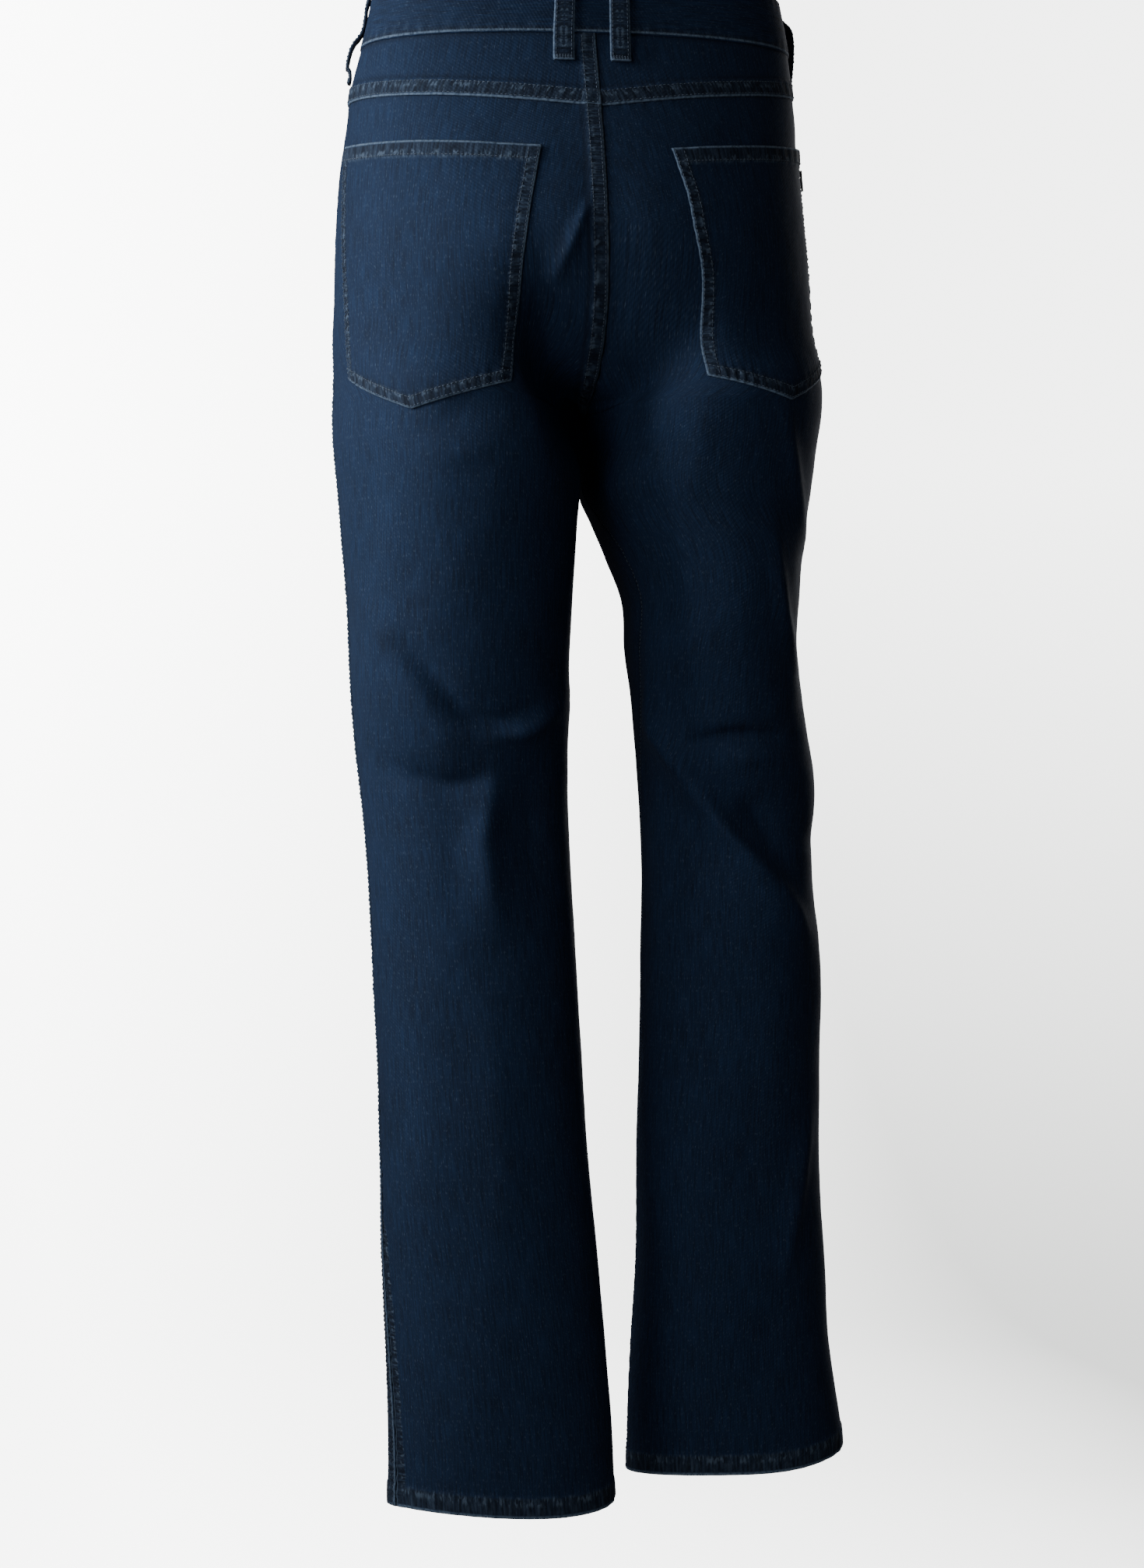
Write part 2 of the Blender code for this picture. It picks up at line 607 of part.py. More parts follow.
def panel(name, side, face, top_rows):
    """A leg panel. top_rows gives the rows above the fork as lists of (u, h)."""
    rows = list(top_rows)
    fork = [CROTCH + FORK_RISE * (1 - i / FORK_ROWS) for i in range(0, FORK_ROWS + 1)]
    for h in fork + leg_heights(side):
        rows.append(level_row(side, face, h))
    outer, inner = [], []
    for row in rows:
        outer.append([surface(side, u, h, hem_layers(side, h)[0]) for u, h in row])
        inner.append([surface(side, u, h, -CLOTH - hem_layers(side, h)[1]) for u, h in row])
    return wall(name, outer, inner)


def back_panel(side):
    rows = []
    for i in range(TORSO_ROWS):
        row = level_row(side, 1, 0.0)
        rows.append([(u, mix(yoke_edge(side, u) - SEAM_GAP, FORK_TOP, i / TORSO_ROWS)) for u, h in row])
    return panel(f"back_{side}", side, 1, rows)


def front_panel(side):
    rows = []
    for i in range(SCOOP_ROWS + 1):
        z = mix(WAIST_SEAM - SEAM_GAP, SCOOP_FOOT, math.sin(i / SCOOP_ROWS * math.pi / 2))
        rows.append(level_row(side, -1, z, scoop_edge(z)))
    for i in range(1, 3):
        rows.append(level_row(side, -1, mix(SCOOP_FOOT, FORK_TOP, i / 3)))
    return panel(f"front_{side}", side, -1, rows)


def yoke(side):
    """The back yoke. Its lower edge is a raised fold that laps towards the panel below."""
    columns = 12
    outer, inner = [], []
    shares = (0.0, 0.5, 1.0)
    for i in range(len(shares) + 2):
        outer_row, inner_row = [], []
        for j in range(columns + 1):
            gap = seam_share(side, 0.0)
            u = mix(gap, 1.0 - gap, j / columns)
            foot = yoke_edge(side, u)
            fold = foot + YOKE_FOLD
            if i < len(shares):
                h, lift = mix(WAIST_SEAM - SEAM_GAP, fold + 0.0006, shares[i]), 0.0
            else:
                h, lift = (fold, YOKE_FOLD_RAISE) if i == len(shares) else (foot, YOKE_FOLD_RAISE)
            outer_row.append(surface(side, u, h, lift))
            inner_row.append(surface(side, u, h, -CLOTH))
        outer.append(outer_row)
        inner.append(inner_row)
    return wall(f"yoke_{side}", outer, inner)


def inner_edge(side, down):
    """Distance along the cloth from the side seam to the pocket's inner edge."""
    return read_row(POCKET_INNER, POCKET_INNER_COLUMNS, down)[side]


def tip_share(side):
    """How far across the pocket its lower point stands."""
    along = POCKET_ALONG[side]
    return (along["tip"] - along["foot_outer"]) / (inner_edge(side, 1.0) - along["foot_outer"])


def pocket_spot(side, across, down):
    """(u, h) for a spot of the pocket: across is 0 at its outer edge, and down is 0 at its mouth."""
    height, along, tip = POCKET_HEIGHTS[side], POCKET_ALONG[side], tip_share(side)
    if across < tip:
        foot = mix(height["foot_outer"], height["tip"], across / tip)
    else:
        foot = mix(height["tip"], height["foot_inner"], (across - tip) / (1.0 - tip))
    z = mix(mix(height["top_outer"], height["top_inner"], across), foot, down)
    outer = mix(along["top_outer"], along["foot_outer"], down)
    return along_back(side, z, mix(outer, inner_edge(side, down), across))


def pocket_depth(side):
    return POCKET_HEIGHTS[side]["top_outer"] - POCKET_HEIGHTS[side]["foot_outer"]


def back_pocket(side):
    tip = tip_share(side)
    before_tip = round(POCKET_COLUMNS * tip)
    shares = [tip * j / before_tip for j in range(before_tip)]
    after = POCKET_COLUMNS - before_tip
    shares += [mix(tip, 1.0, j / after) for j in range(after + 1)]
    hem = POCKET_HEM / pocket_depth(side)
    downs = [(0.0, POCKET_HEM_RAISE), (hem, POCKET_HEM_RAISE), (hem + 0.004, 0.0)]
    downs += [(mix(hem + 0.004, 1.0, i / POCKET_ROWS), 0.0) for i in range(1, POCKET_ROWS + 1)]
    outer, inner = [], []
    for down, raise_by in downs:
        spots = [pocket_spot(side, across, down) for across in shares]
        outer.append([surface(side, u, h, POCKET_GAP + POCKET_CLOTH + raise_by) for u, h in spots])
        inner.append([surface(side, u, h, POCKET_GAP) for u, h in spots])
    return wall(f"back_pocket_{side}", outer, inner)


def pocket_tab():
    """The small folded tab that lies on the right pocket, caught in its outer edge."""
    side = "right"
    under = POCKET_GAP + POCKET_CLOTH + LAYER_GAP
    mouth = inner_edge(side, 0.0) - POCKET_ALONG[side]["top_outer"]
    outer, inner = [], []
    for i in range(3):
        down = (TAB_BELOW_MOUTH + TAB_HEIGHT * i / 2) / pocket_depth(side)
        spots = [pocket_spot(side, j / 2 * TAB_WIDTH / mouth, down) for j in range(3)]
        outer.append([surface(side, u, h, under + TAB_CLOTH) for u, h in spots])
        inner.append([surface(side, u, h, under) for u, h in spots])
    return wall("pocket_tab", outer, inner, "tab_cloth")


def ring_point(angle, z, lift):
    """A point round the torso at an angle from the front, towards the wearer's left, lifted off the cloth."""
    angle = (angle + 180.0) % 360.0 - 180.0
    side = "left" if angle >= 0 else "right"
    turned = abs(angle)
    seam = 90.0 + SIDE_SEAM_ANGLE
    u = (turned - seam) / seam if turned < seam else (turned - seam) / (180.0 - seam)
    point = base_point(side, u, z)
    out = raw_normal(side, clamp(u, -SEAM_AT, SEAM_AT), z)
    if abs(u) > SEAM_AT:
        out.x = 0.0
    return point + out.normalized() * lift


def waistband():
    """One band round the waist. Its left end laps over the right end at the centre front."""
    lap = BAND_LAP_ANGLE
    start, end = BAND_LAP_CENTRE - lap / 2, BAND_LAP_CENTRE + 360.0 + lap / 2
    step_out = BAND_OUT + BAND_IN + LAYER_GAP
    outer, inner = [], []
    heights = [WAIST_TOP, WAIST_TOP - BAND_EDGE, WAIST_SEAM + BAND_EDGE, WAIST_SEAM]
    for z in heights:
        outer_row, inner_row = [], []
        for i in range(BAND_STEPS + 1):
            angle = mix(end, start, i / BAND_STEPS)
            # the wearer's left end is the start of the walk, so it rises over the other one
            over = smooth(start + BAND_CLIMB[1] * lap, start + BAND_CLIMB[0] * lap, angle)
            lift = step_out * over
            outer_row.append(ring_point(angle, z, BAND_OUT + lift))
            inner_row.append(ring_point(angle, z, -BAND_IN + lift))
        outer.append(outer_row)
        inner.append(inner_row)
    return wall("waistband", outer, inner)


def belt_loop(name, angle, foot, room, low, bend):
    """A strip that stands off the waistband, with its two ends sewn down."""
    band_out = BAND_OUT + LAYER_GAP
    # Each row is a height down the strip, and how far its back face stands off the smooth cloth
    profile = (
        (LOOP_TOP, band_out),
        (LOOP_TOP - LOOP_ENDS * 0.55, band_out),
        (LOOP_TOP - LOOP_ENDS, band_out + LOOP_TOP_LIFT),
        (mix(LOOP_TOP, foot, 0.25), band_out + room * 0.96),
        (mix(LOOP_TOP, foot, 0.42), band_out + room),
        (mix(LOOP_TOP, foot, 0.60), band_out + low),
        (foot + LOOP_ENDS * 1.25, band_out + bend),
        (foot + LOOP_ENDS, LOOP_FOOT_OUT + LOOP_FOOT_LIFT),
        (foot + LOOP_ENDS * 0.6, LOOP_FOOT_OUT),
        (foot, LOOP_FOOT_OUT),
    )
    middle = ring_point(angle, 0.0, 0.0)
    beside = ring_point(angle + 1.0, 0.0, 0.0)
    per_degree = (beside - middle).length
    outer, inner = [], []
    for z, stand_off in profile:
        outer_row, inner_row = [], []
        for j in (-0.5, -0.17, 0.17, 0.5):
            spot = angle - j * LOOP_WIDTH / per_degree
            crown = LOOP_CROWN if abs(j) < 0.3 else 0.0
            outer_row.append(ring_point(spot, z, stand_off + LOOP_CLOTH + crown))
            inner_row.append(ring_point(spot, z, stand_off))
        outer.append(outer_row)
        inner.append(inner_row)
    return wall(name, outer, inner)


def pocket_facing(side):
    """The cloth behind the scooped mouth of the front pocket, up to the side seam."""
    columns, rows = 6, 7
    outer, inner = [], []
    foot = SCOOP_FOOT - FACING_BELOW
    for i in range(rows + 1):
        z = mix(WAIST_SEAM - SEAM_GAP, foot, i / rows)
        reach = scoop_edge(z) if z > SCOOP_FOOT else 0.0
        reach = max(reach + FACING_OVERLAP, FACING_OVERLAP * 1.2)
        gap = seam_share(side, z)
        us = [-mix(gap, reach, j / columns) for j in range(columns + 1)]
        outer.append([surface(side, u, z, -CLOTH - WIDE_GAP) for u in us])
        inner.append([surface(side, u, z, -CLOTH - WIDE_GAP - FACING_CLOTH) for u in us])
    return wall(f"pocket_facing_{side}", outer, inner)


def front_point(x, z, lift):
    """A point of the front near its middle, by its distance from the centre front."""
    row = read_row(TORSO, TORSO_COLUMNS, z)
    across = clamp(abs(x) / row["half_width"], 0.0, 1.0)
    side = "left" if x >= 0 else "right"
    u = -1.0 + across * 90.0 / (90.0 + SIDE_SEAM_ANGLE) * (2.0 / math.pi)
    for _ in range(12):
        off = abs(base_point(side, u, z).x) - abs(x)
        u -= off / row["half_width"] * 0.6
        u = clamp(u, -1.0, -0.3)
    point = base_point(side, u, z)
    out = raw_normal(side, max(u, -SEAM_AT), z)
    point.x = x
    if abs(x) < 0.0005:
        out.x = 0.0
    return point + out.normalized() * lift


def fly_flap():
    """The doubled edge of the fly, which laps over the centre front and covers the zip."""
    rows, columns = 10, 5
    outer, inner = [], []
    for i in range(rows + 1):
        share = i / rows
        z = mix(WAIST_SEAM - SEAM_GAP, FLY_FOOT, share)
        curve = clamp((share - 0.62) / 0.38, 0.0, 1.0)
        width = FLY_WIDTH * math.sqrt(max(1.0 - curve**2, 0.0))
        left = max(width, 0.004)
        row = [mix(-FLY_LAP, left, j / columns) for j in range(columns + 1)]
        outer.append([front_point(x, z, LAYER_GAP + FLY_CLOTH) for x in row])
        inner.append([front_point(x, z, LAYER_GAP) for x in row])
    return wall("fly_flap", outer, inner)


def zip_tape():
    """The zip behind the fly: its tape, with the closed chain raised along the middle."""
    half, chain = ZIP_WIDTH / 2, ZIP_CHAIN_WIDTH / 2
    columns = (-half, -chain - 0.0003, -chain, chain, chain + 0.0003, half)
    thickness = [ZIP_TAPE + (ZIP_CHAIN if abs(x) <= chain else 0.0) for x in columns]
    behind = -CLOTH - WIDE_GAP
    rows = 9
    outer, inner = [], []
    for i in range(rows + 1):
        z = mix(ZIP_TOP, ZIP_FOOT, i / rows)
        outer.append([front_point(x, z, behind) for x in columns])
        inner.append([front_point(x, z, behind - thick) for x, thick in zip(columns, thickness)])
    return wall("zip_tape", outer, inner, "zip_cloth")


def zip_slider():
    """The slider at the top of the closed chain, with its pull lying down along the chain."""
    behind = -CLOTH - WIDE_GAP - ZIP_TAPE - ZIP_CHAIN - LAYER_GAP
    # Each row is a height, half the width and the thickness: the slider's body, then its pull
    profile = (
        (ZIP_TOP - 0.0030, 0.0030, 0.0012),
        (ZIP_TOP - 0.0045, 0.0042, 0.0024),
        (ZIP_TOP - 0.0110, 0.0038, 0.0024),
        (ZIP_TOP - 0.0120, 0.0026, 0.0016),
        (ZIP_TOP - 0.0300, 0.0034, 0.0016),
        (ZIP_TOP - 0.0330, 0.0026, 0.0012),
    )
    outer, inner = [], []
    for z, half, thick in profile:
        columns = [mix(-half, half, j / 3) for j in range(4)]
        outer.append([front_point(x, z, behind) for x in columns])
        inner.append([front_point(x, z, behind - thick) for x in columns])
    return wall("zip_slider", outer, inner, "metal")


def waist_button():
    """The shank button on the lapped end of the waistband: a domed cap on a short stem."""
    angle = BAND_LAP_CENTRE
    lift = BAND_OUT + BAND_OUT + BAND_IN + 2 * LAYER_GAP
    seat = ring_point(angle, 0.0, lift)
    out = ring_point(angle, 0.0, lift + 0.01) - seat
    radius, tall = BUTTON_RADIUS, BUTTON_HEIGHT
    # Each row is a distance from the button's axis and a height on it
    profile = (
        (0.0, tall),
        (radius * 0.55, tall * 0.97),
        (radius * 0.80, tall * 0.86),
        (radius * 0.88, tall * 0.94),
        (radius, tall * 0.80),
        (radius * 0.97, tall * 0.58),
        (radius * 0.45, tall * 0.50),
        (radius * 0.42, 0.0),
        (0.0, 0.0),
    )
    mesh = bpy.data.meshes.new("waist_button")
    mesh.from_pydata([(r, 0.0, z) for r, z in profile], [(i, i + 1) for i in range(len(profile) - 1)], [])
    made = bpy.data.objects.new("waist_button", mesh)
    PARTS.objects.link(made)
    turned = made.modifiers.new("Turn", "SCREW")
    turned.steps = turned.render_steps = 24
    turned.use_merge_vertices = True
    turned.merge_threshold = 0.00005
    mesh.materials.append(material("metal"))
    made.rotation_euler = out.to_track_quat("Z", "Y").to_euler()
    made.location = seat
    return made


def build():
    for side in ("left", "right"):
        back_panel(side)
        front_panel(side)
        yoke(side)
        back_pocket(side)
        pocket_facing(side)
    waistband()
    for name, place in LOOPS.items():
        belt_loop(name, **place)
    pocket_tab()
    fly_flap()
    zip_tape()
    zip_slider()
    waist_button()


clear_scene()
PARTS = bpy.data.collections.new("jeans")
bpy.context.scene.collection.children.link(PARTS)
build()
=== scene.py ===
# Slim five-pocket jeans in dark stretch denim, filled out with nobody in them, seen from behind.
# Metres, +Z up. The front faces -Y, and +X is the wearer's left.

import math

import bmesh
import bpy
import numpy as np
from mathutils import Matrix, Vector
from mathutils.bvhtree import BVHTree


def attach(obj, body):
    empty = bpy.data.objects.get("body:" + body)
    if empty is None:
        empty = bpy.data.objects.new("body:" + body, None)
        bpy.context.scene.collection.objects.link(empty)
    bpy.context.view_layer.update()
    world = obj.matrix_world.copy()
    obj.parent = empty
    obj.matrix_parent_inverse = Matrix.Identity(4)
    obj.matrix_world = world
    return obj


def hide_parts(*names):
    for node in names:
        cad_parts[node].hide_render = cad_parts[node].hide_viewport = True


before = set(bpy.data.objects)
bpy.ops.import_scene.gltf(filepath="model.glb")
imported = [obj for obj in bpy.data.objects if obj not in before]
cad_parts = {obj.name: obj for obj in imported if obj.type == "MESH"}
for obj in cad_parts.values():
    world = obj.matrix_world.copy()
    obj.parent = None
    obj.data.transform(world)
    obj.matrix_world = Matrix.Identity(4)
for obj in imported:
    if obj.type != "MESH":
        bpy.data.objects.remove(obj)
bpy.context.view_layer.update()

# Camera and light

photo = {"azimuth": math.radians(170.0), "distance": 3.0, "height": -0.524, "tall": 2014, "scale": 0.00054}
viewRight = Vector((math.cos(photo["azimuth"]), math.sin(photo["azimuth"]), 0.0))
viewBack = Vector((math.sin(photo["azimuth"]), -math.cos(photo["azimuth"]), 0.0))

camera = bpy.data.objects.new("Camera", bpy.data.cameras.new("Camera"))
camera.data.sensor_width = 36.0
camera.data.lens = 36.0 * photo["distance"] / (photo["tall"] * photo["scale"])
camera.location = viewBack * photo["distance"] + Vector((0.0, 0.0, photo["height"]))
camera.rotation_euler = (math.pi / 2, 0.0, photo["azimuth"])
bpy.context.scene.collection.objects.link(camera)
bpy.context.scene.camera = camera

# each light's place from the spot it is aimed at, that spot's height, its spread, size, power and tint
lights = {
    "Key": {
        "right": -1.30, "back": 0.36, "up": 0.45, "aim": -0.28, "spread": 66.0,
        "width": 0.75, "tall": 0.9, "power": 4.3, "tint": (1.0, 0.98, 0.95),
    },
    "Fill": {
        "right": -1.3, "back": 2.1, "up": 0.3, "aim": photo["height"], "spread": 180.0,
        "width": 1.0, "tall": 1.8, "power": 17.0, "tint": (1.0, 0.98, 0.96),
    },
    "Front": {
        "right": 0.8, "back": -2.4, "up": 0.6, "aim": photo["height"], "spread": 180.0,
        "width": 1.6, "tall": 1.8, "power": 34.0, "tint": (1.0, 1.0, 1.0),
    },
}
for name, light in lights.items():
    lamp = bpy.data.objects.new(name, bpy.data.lights.new(name, "AREA"))
    lamp.data.shape = "RECTANGLE"
    lamp.data.size, lamp.data.size_y = light["width"], light["tall"]
    lamp.data.energy = light["power"]
    lamp.data.color = light["tint"]
    lamp.data.spread = math.radians(light["spread"])
    middle = Vector((0.0, 0.0, light["aim"]))
    raised = Vector((0.0, 0.0, light["up"]))
    lamp.location = middle + viewRight * light["right"] + viewBack * light["back"] + raised
    lamp.rotation_euler = (middle - lamp.location).to_track_quat("-Z", "Z").to_euler()
    bpy.context.scene.collection.objects.link(lamp)

world = bpy.data.worlds.new("Studio")
world.use_nodes = True
world.node_tree.nodes["Background"].inputs["Color"].default_value = (1.0, 0.96, 0.90, 1.0)
world.node_tree.nodes["Background"].inputs["Strength"].default_value = 0.075
bpy.context.scene.world = world
print("camera and lights are set")

# Small numbers


def mix(a, b, share):
    return a + (b - a) * share


def smooth(low, high, value):
    share = np.clip((value - low) / (high - low), 0.0, 1.0)
    return share * share * (3.0 - 2.0 * share)


def hump(distance, width):
    return np.exp(-((distance / width) ** 2))


def unit(arrows):
    return arrows / np.maximum(np.linalg.norm(arrows, axis=-1, keepdims=True), 1e-12)


def readTable(table, spot):
    # every column of a table at a place in its first column, on a smooth curve through its rows
    rows = np.array(sorted(table))
    spot = np.clip(spot, rows[0, 0], rows[-1, 0])
    i = np.clip(np.searchsorted(rows[:, 0], spot, side="right") - 1, 0, len(rows) - 2)
    low, high = rows[i], rows[i + 1]
    before, after = rows[np.maximum(i - 1, 0)], rows[np.minimum(i + 2, len(rows) - 1)]
    step = high[..., :1] - low[..., :1]
    t = (spot[..., None] - low[..., :1]) / step
    slopeLow = (high - before) / (high[..., :1] - before[..., :1]) * step
    slopeHigh = (after - low) / (after[..., :1] - low[..., :1]) * step
    curve = (2 * t**3 - 3 * t**2 + 1) * low + (t**3 - 2 * t**2 + t) * slopeLow
    curve = curve + (3 * t**2 - 2 * t**3) * high + (t**3 - t**2) * slopeHigh
    return np.moveaxis(curve, -1, 0)


def softNoise(points, size, seed):
    # smooth noise from -1 to 1 in space, from a lattice of seeded numbers
    lattice = np.random.default_rng(seed).uniform(-1.0, 1.0, (32, 32, 32))
    spot = points / size
    cell = np.floor(spot).astype(int)
    share = spot - cell
    share = share * share * (3.0 - 2.0 * share)
    total = 0.0
    for corner in np.ndindex(2, 2, 2):
        weight = np.prod(np.where(corner, share, 1.0 - share), axis=-1)
        total = total + weight * lattice[tuple(np.moveaxis((cell + corner) % 32, -1, 0))]
    return total


def wander(along, size, seed):
    # the same in one direction
    flat = np.zeros(np.shape(along) + (3,))
    flat[..., 0] = along
    return softNoise(flat, size, seed)


# The garment's form: sections of the torso and legs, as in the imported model

form = {
    "cloth": 0.0012,
    "gap": 0.0003,
    # about a quarter of the way round the hips, which is as wide as a yoke
    "quarter": 0.24,
    "waistTop": 0.0195,
    "waistSeam": -0.0185,
    "yokeCentre": -0.0705,
    "yokeSide": {"left": -0.0555, "right": -0.0465},
    "crotch": -0.2650,
    "forkRise": 0.0750,
    "riseBack": 0.1150,
    "riseFront": 0.0650,
    "sideSeam": -12.0,
    "squareness": 0.035,
    "forkFade": (-0.2700, 0.0600),
    "strideFade": (0.0040, 0.0300),
    "leanBelow": -0.0070,
    "leanSpread": 0.07,
    "hipShift": 0.0026,
    "waistLean": (-0.0036, -0.0004),
}
forkTop = form["crotch"] + form["forkRise"]
sign = {"left": 1.0, "right": -1.0}

# z, half width, back, front, dip between the seats
torsoRows = (
    (0.0300, 0.1395, 0.0870, 0.0880, 0.00),
    (0.0000, 0.1450, 0.0880, 0.0900, 0.00),
    (-0.0200, 0.1495, 0.0900, 0.0920, 0.00),
    (-0.0500, 0.1545, 0.1040, 0.0950, 0.00),
    (-0.1000, 0.1585, 0.1270, 0.0990, 0.01),
    (-0.1500, 0.1620, 0.1430, 0.1000, 0.03),
    (-0.2000, 0.1642, 0.1420, 0.1000, 0.05),
    (-0.2350, 0.1655, 0.1340, 0.0990, 0.07),
    (-0.2650, 0.1685, 0.1240, 0.0980, 0.08),
)
# z, centre x, centre y, half width, back, front, outseam angle, inseam angle
legRows = {
    "left": (
        (-0.1500, 0.0815, 0.0040, 0.0815, 0.1330, 0.1040, -12, 180),
        (-0.2000, 0.0828, 0.0040, 0.0828, 0.1310, 0.1040, -12, 180),
        (-0.2650, 0.0836, 0.0040, 0.0834, 0.1200, 0.1030, -12, 180),
        (-0.3000, 0.0846, 0.0060, 0.0844, 0.1160, 0.1010, -12, 180),
        (-0.3310, 0.0872, 0.0050, 0.0811, 0.1115, 0.1000, -12, 180),
        (-0.3960, 0.0858, 0.0000, 0.0766, 0.1010, 0.0970, -11, 180),
        (-0.4610, 0.0855, -0.0030, 0.0742, 0.0880, 0.0860, -10, 180),
        (-0.5260, 0.0815, -0.0070, 0.0714, 0.0700, 0.0730, -9, 181),
        (-0.5900, 0.0769, -0.0060, 0.0700, 0.0680, 0.0680, -8, 182),
        (-0.6550, 0.0740, -0.0030, 0.0697, 0.0640, 0.0640, -8, 184),
        (-0.7200, 0.0712, 0.0000, 0.0704, 0.0610, 0.0600, -7, 186),
        (-0.7850, 0.0690, 0.0030, 0.0718, 0.0590, 0.0580, -4, 189),
        (-0.8500, 0.0651, 0.0050, 0.0743, 0.0560, 0.0550, 3, 193),
        (-0.9140, 0.0614, 0.0070, 0.0762, 0.0530, 0.0520, 11, 196),
        (-0.9790, 0.0586, 0.0080, 0.0780, 0.0500, 0.0490, 18, 199),
        (-1.0240, 0.0578, 0.0080, 0.0794, 0.0480, 0.0470, 22, 200),
    ),
    "right": (
        (-0.1500, 0.0815, 0.0040, 0.0815, 0.1330, 0.1040, -12, 180),
        (-0.2000, 0.0828, 0.0040, 0.0828, 0.1310, 0.1040, -12, 180),
        (-0.2650, 0.0848, 0.0020, 0.0846, 0.1200, 0.1030, -12, 180),
        (-0.3000, 0.0826, -0.0080, 0.0824, 0.1160, 0.1030, -12, 180),
        (-0.3210, 0.0817, -0.0110, 0.0794, 0.1120, 0.1040, -12, 179),
        (-0.3400, 0.0843, -0.0120, 0.0729, 0.1070, 0.1040, -12, 173),
        (-0.3620, 0.0885, -0.0140, 0.0670, 0.1060, 0.1050, -12, 163),
        (-0.3950, 0.0943, -0.0177, 0.0590, 0.1030, 0.1030, -12, 161),
        (-0.4300, 0.0955, -0.0246, 0.0570, 0.0970, 0.0980, -12, 165),
        (-0.4600, 0.1009, -0.0318, 0.0575, 0.0910, 0.0930, -11, 170),
        (-0.5260, 0.1107, -0.0422, 0.0618, 0.0780, 0.0780, -10, 180),
        (-0.5920, 0.1127, -0.0479, 0.0598, 0.0735, 0.0730, -10, 184),
        (-0.6580, 0.1163, -0.0514, 0.0639, 0.0680, 0.0680, -10, 185),
        (-0.7250, 0.1161, -0.0545, 0.0637, 0.0650, 0.0650, -10, 186),
        (-0.7920, 0.1154, -0.0576, 0.0645, 0.0620, 0.0620, -10, 187),
        (-0.8580, 0.1172, -0.0593, 0.0670, 0.0600, 0.0600, -10, 188),
        (-0.9250, 0.1175, -0.0613, 0.0710, 0.0560, 0.0560, -10, 189),
        (-0.9920, 0.1215, -0.0637, 0.0772, 0.0510, 0.0510, -10, 190),
        (-1.0090, 0.1220, -0.0640, 0.0778, 0.0505, 0.0500, -10, 190),
    ),
}
# a hem's height, and how much higher it is on the outside, the inside and the front of the leg
hems = {"left": (-1.0240, 0.0070, 0.0095, 0.0040), "right": (-1.0090, 0.0150, -0.0015, 0.0040)}


def torsoPoint(u, z):
    _, halfWidth, back, front, dip = readTable(torsoRows, z)
    reach = np.where(u > 0, 90.0 - form["sideSeam"], 90.0 + form["sideSeam"])
    angle = np.radians(form["sideSeam"] + reach * u)
    square = 1.0 + form["squareness"] * np.sin(2 * angle) ** 2
    x = halfWidth * np.cos(angle) * square
    y = np.where(angle > 0, back, front) * np.sin(angle) * square
    return x, np.where(angle > 0, y * (1.0 - dip * hump(x, 0.030)), y)


def legPoint(side, u, z):
    _, centreX, centreY, halfWidth, back, front, outseam, inseam = readTable(legRows[side], z)
    degrees = np.where(u > 0, mix(outseam, inseam, u), mix(outseam, inseam - 360.0, -u))
    angle = np.radians(degrees)
    square = 1.0 + form["squareness"] * np.sin(2 * angle) ** 2
    across, deep = np.cos(angle), np.sin(angle)
    turned = np.minimum(np.abs(degrees), 360.0 - np.abs(degrees))
    inner = smooth(90.0, 180.0, turned)
    fadeFrom, fade = form["forkFade"]
    near = 1.0 - smooth(0.0, fade, fadeFrom - z)
    across = across + 0.75 * near * inner * (1.0 - 2.0 * turned / 180.0 - across)
    deep = deep * (1.0 - 0.40 * near * smooth(115.0, 180.0, turned))
    x = halfWidth * across * square
    y = np.where(deep > 0, back, front) * deep * square
    stride = mix(1.0, smooth(*form["strideFade"], form["crotch"] - z), inner)
    return centreX + x, centreY * stride + y


def leanAt(u, z):
    # how far the cloth leans towards the wearer's left, at the sides and in the middle
    atSide = mix(0.10, 1.0, smooth(0.0, form["leanSpread"], form["crotch"] - z))
    below = form["leanBelow"] * smooth(0.1400, -form["crotch"], -z) * mix(atSide, 1.0, np.abs(u))
    hips = form["hipShift"] * smooth(-0.0600, -0.1100, z) * smooth(-0.2500, -0.2100, z) * (1.0 - np.abs(u))
    return below + hips + mix(*form["waistLean"], np.abs(u)) * smooth(form["yokeSide"]["left"], 0.0, z)


def rowHeight(side, u, h):
    rise = np.where(u > 0, form["riseBack"], form["riseFront"])
    dip = smooth(0.2, 1.0, np.abs(u))
    fade = np.clip((form["yokeCentre"] - h) / (form["yokeCentre"] - forkTop), 0.0, 1.0)
    above = h + (rise - form["forkRise"]) * fade * dip
    share = np.clip((h - form["crotch"]) / form["forkRise"], 0.0, 1.0)
    fork = mix(h, form["crotch"] + rise * (1.0 - np.cos(share * math.pi / 2)), dip)
    foot, outside, inside, front = hems[side]
    turn = np.cos(math.pi * np.abs(u))
    slant = mix(np.where(u > 0, 0.0, front), np.where(turn > 0, outside, inside), turn * turn)
    below = h + smooth(-0.75, foot, h) * slant
    return np.where(h >= forkTop, above, np.where(h > form["crotch"], fork, below))


def basePoint(side, u, h):
    u, h = np.broadcast_arrays(np.asarray(u, float), np.asarray(h, float))
    z = rowHeight(side, u, h)
    torsoX, torsoY = torsoPoint(u, z)
    legX, legY = legPoint(side, u, np.where(h <= form["crotch"], h, z))
    climb = np.clip((h - form["crotch"]) / form["forkRise"], 0.0, 1.0)
    share = mix(smooth(0.0, 1.0, climb), np.sin(climb * math.pi / 2), smooth(0.6, 1.0, np.abs(u)))
    x = leanAt(u, z) + sign[side] * mix(legX, torsoX, share)
    return np.stack([x, mix(legY, torsoY, share), z], axis=-1)


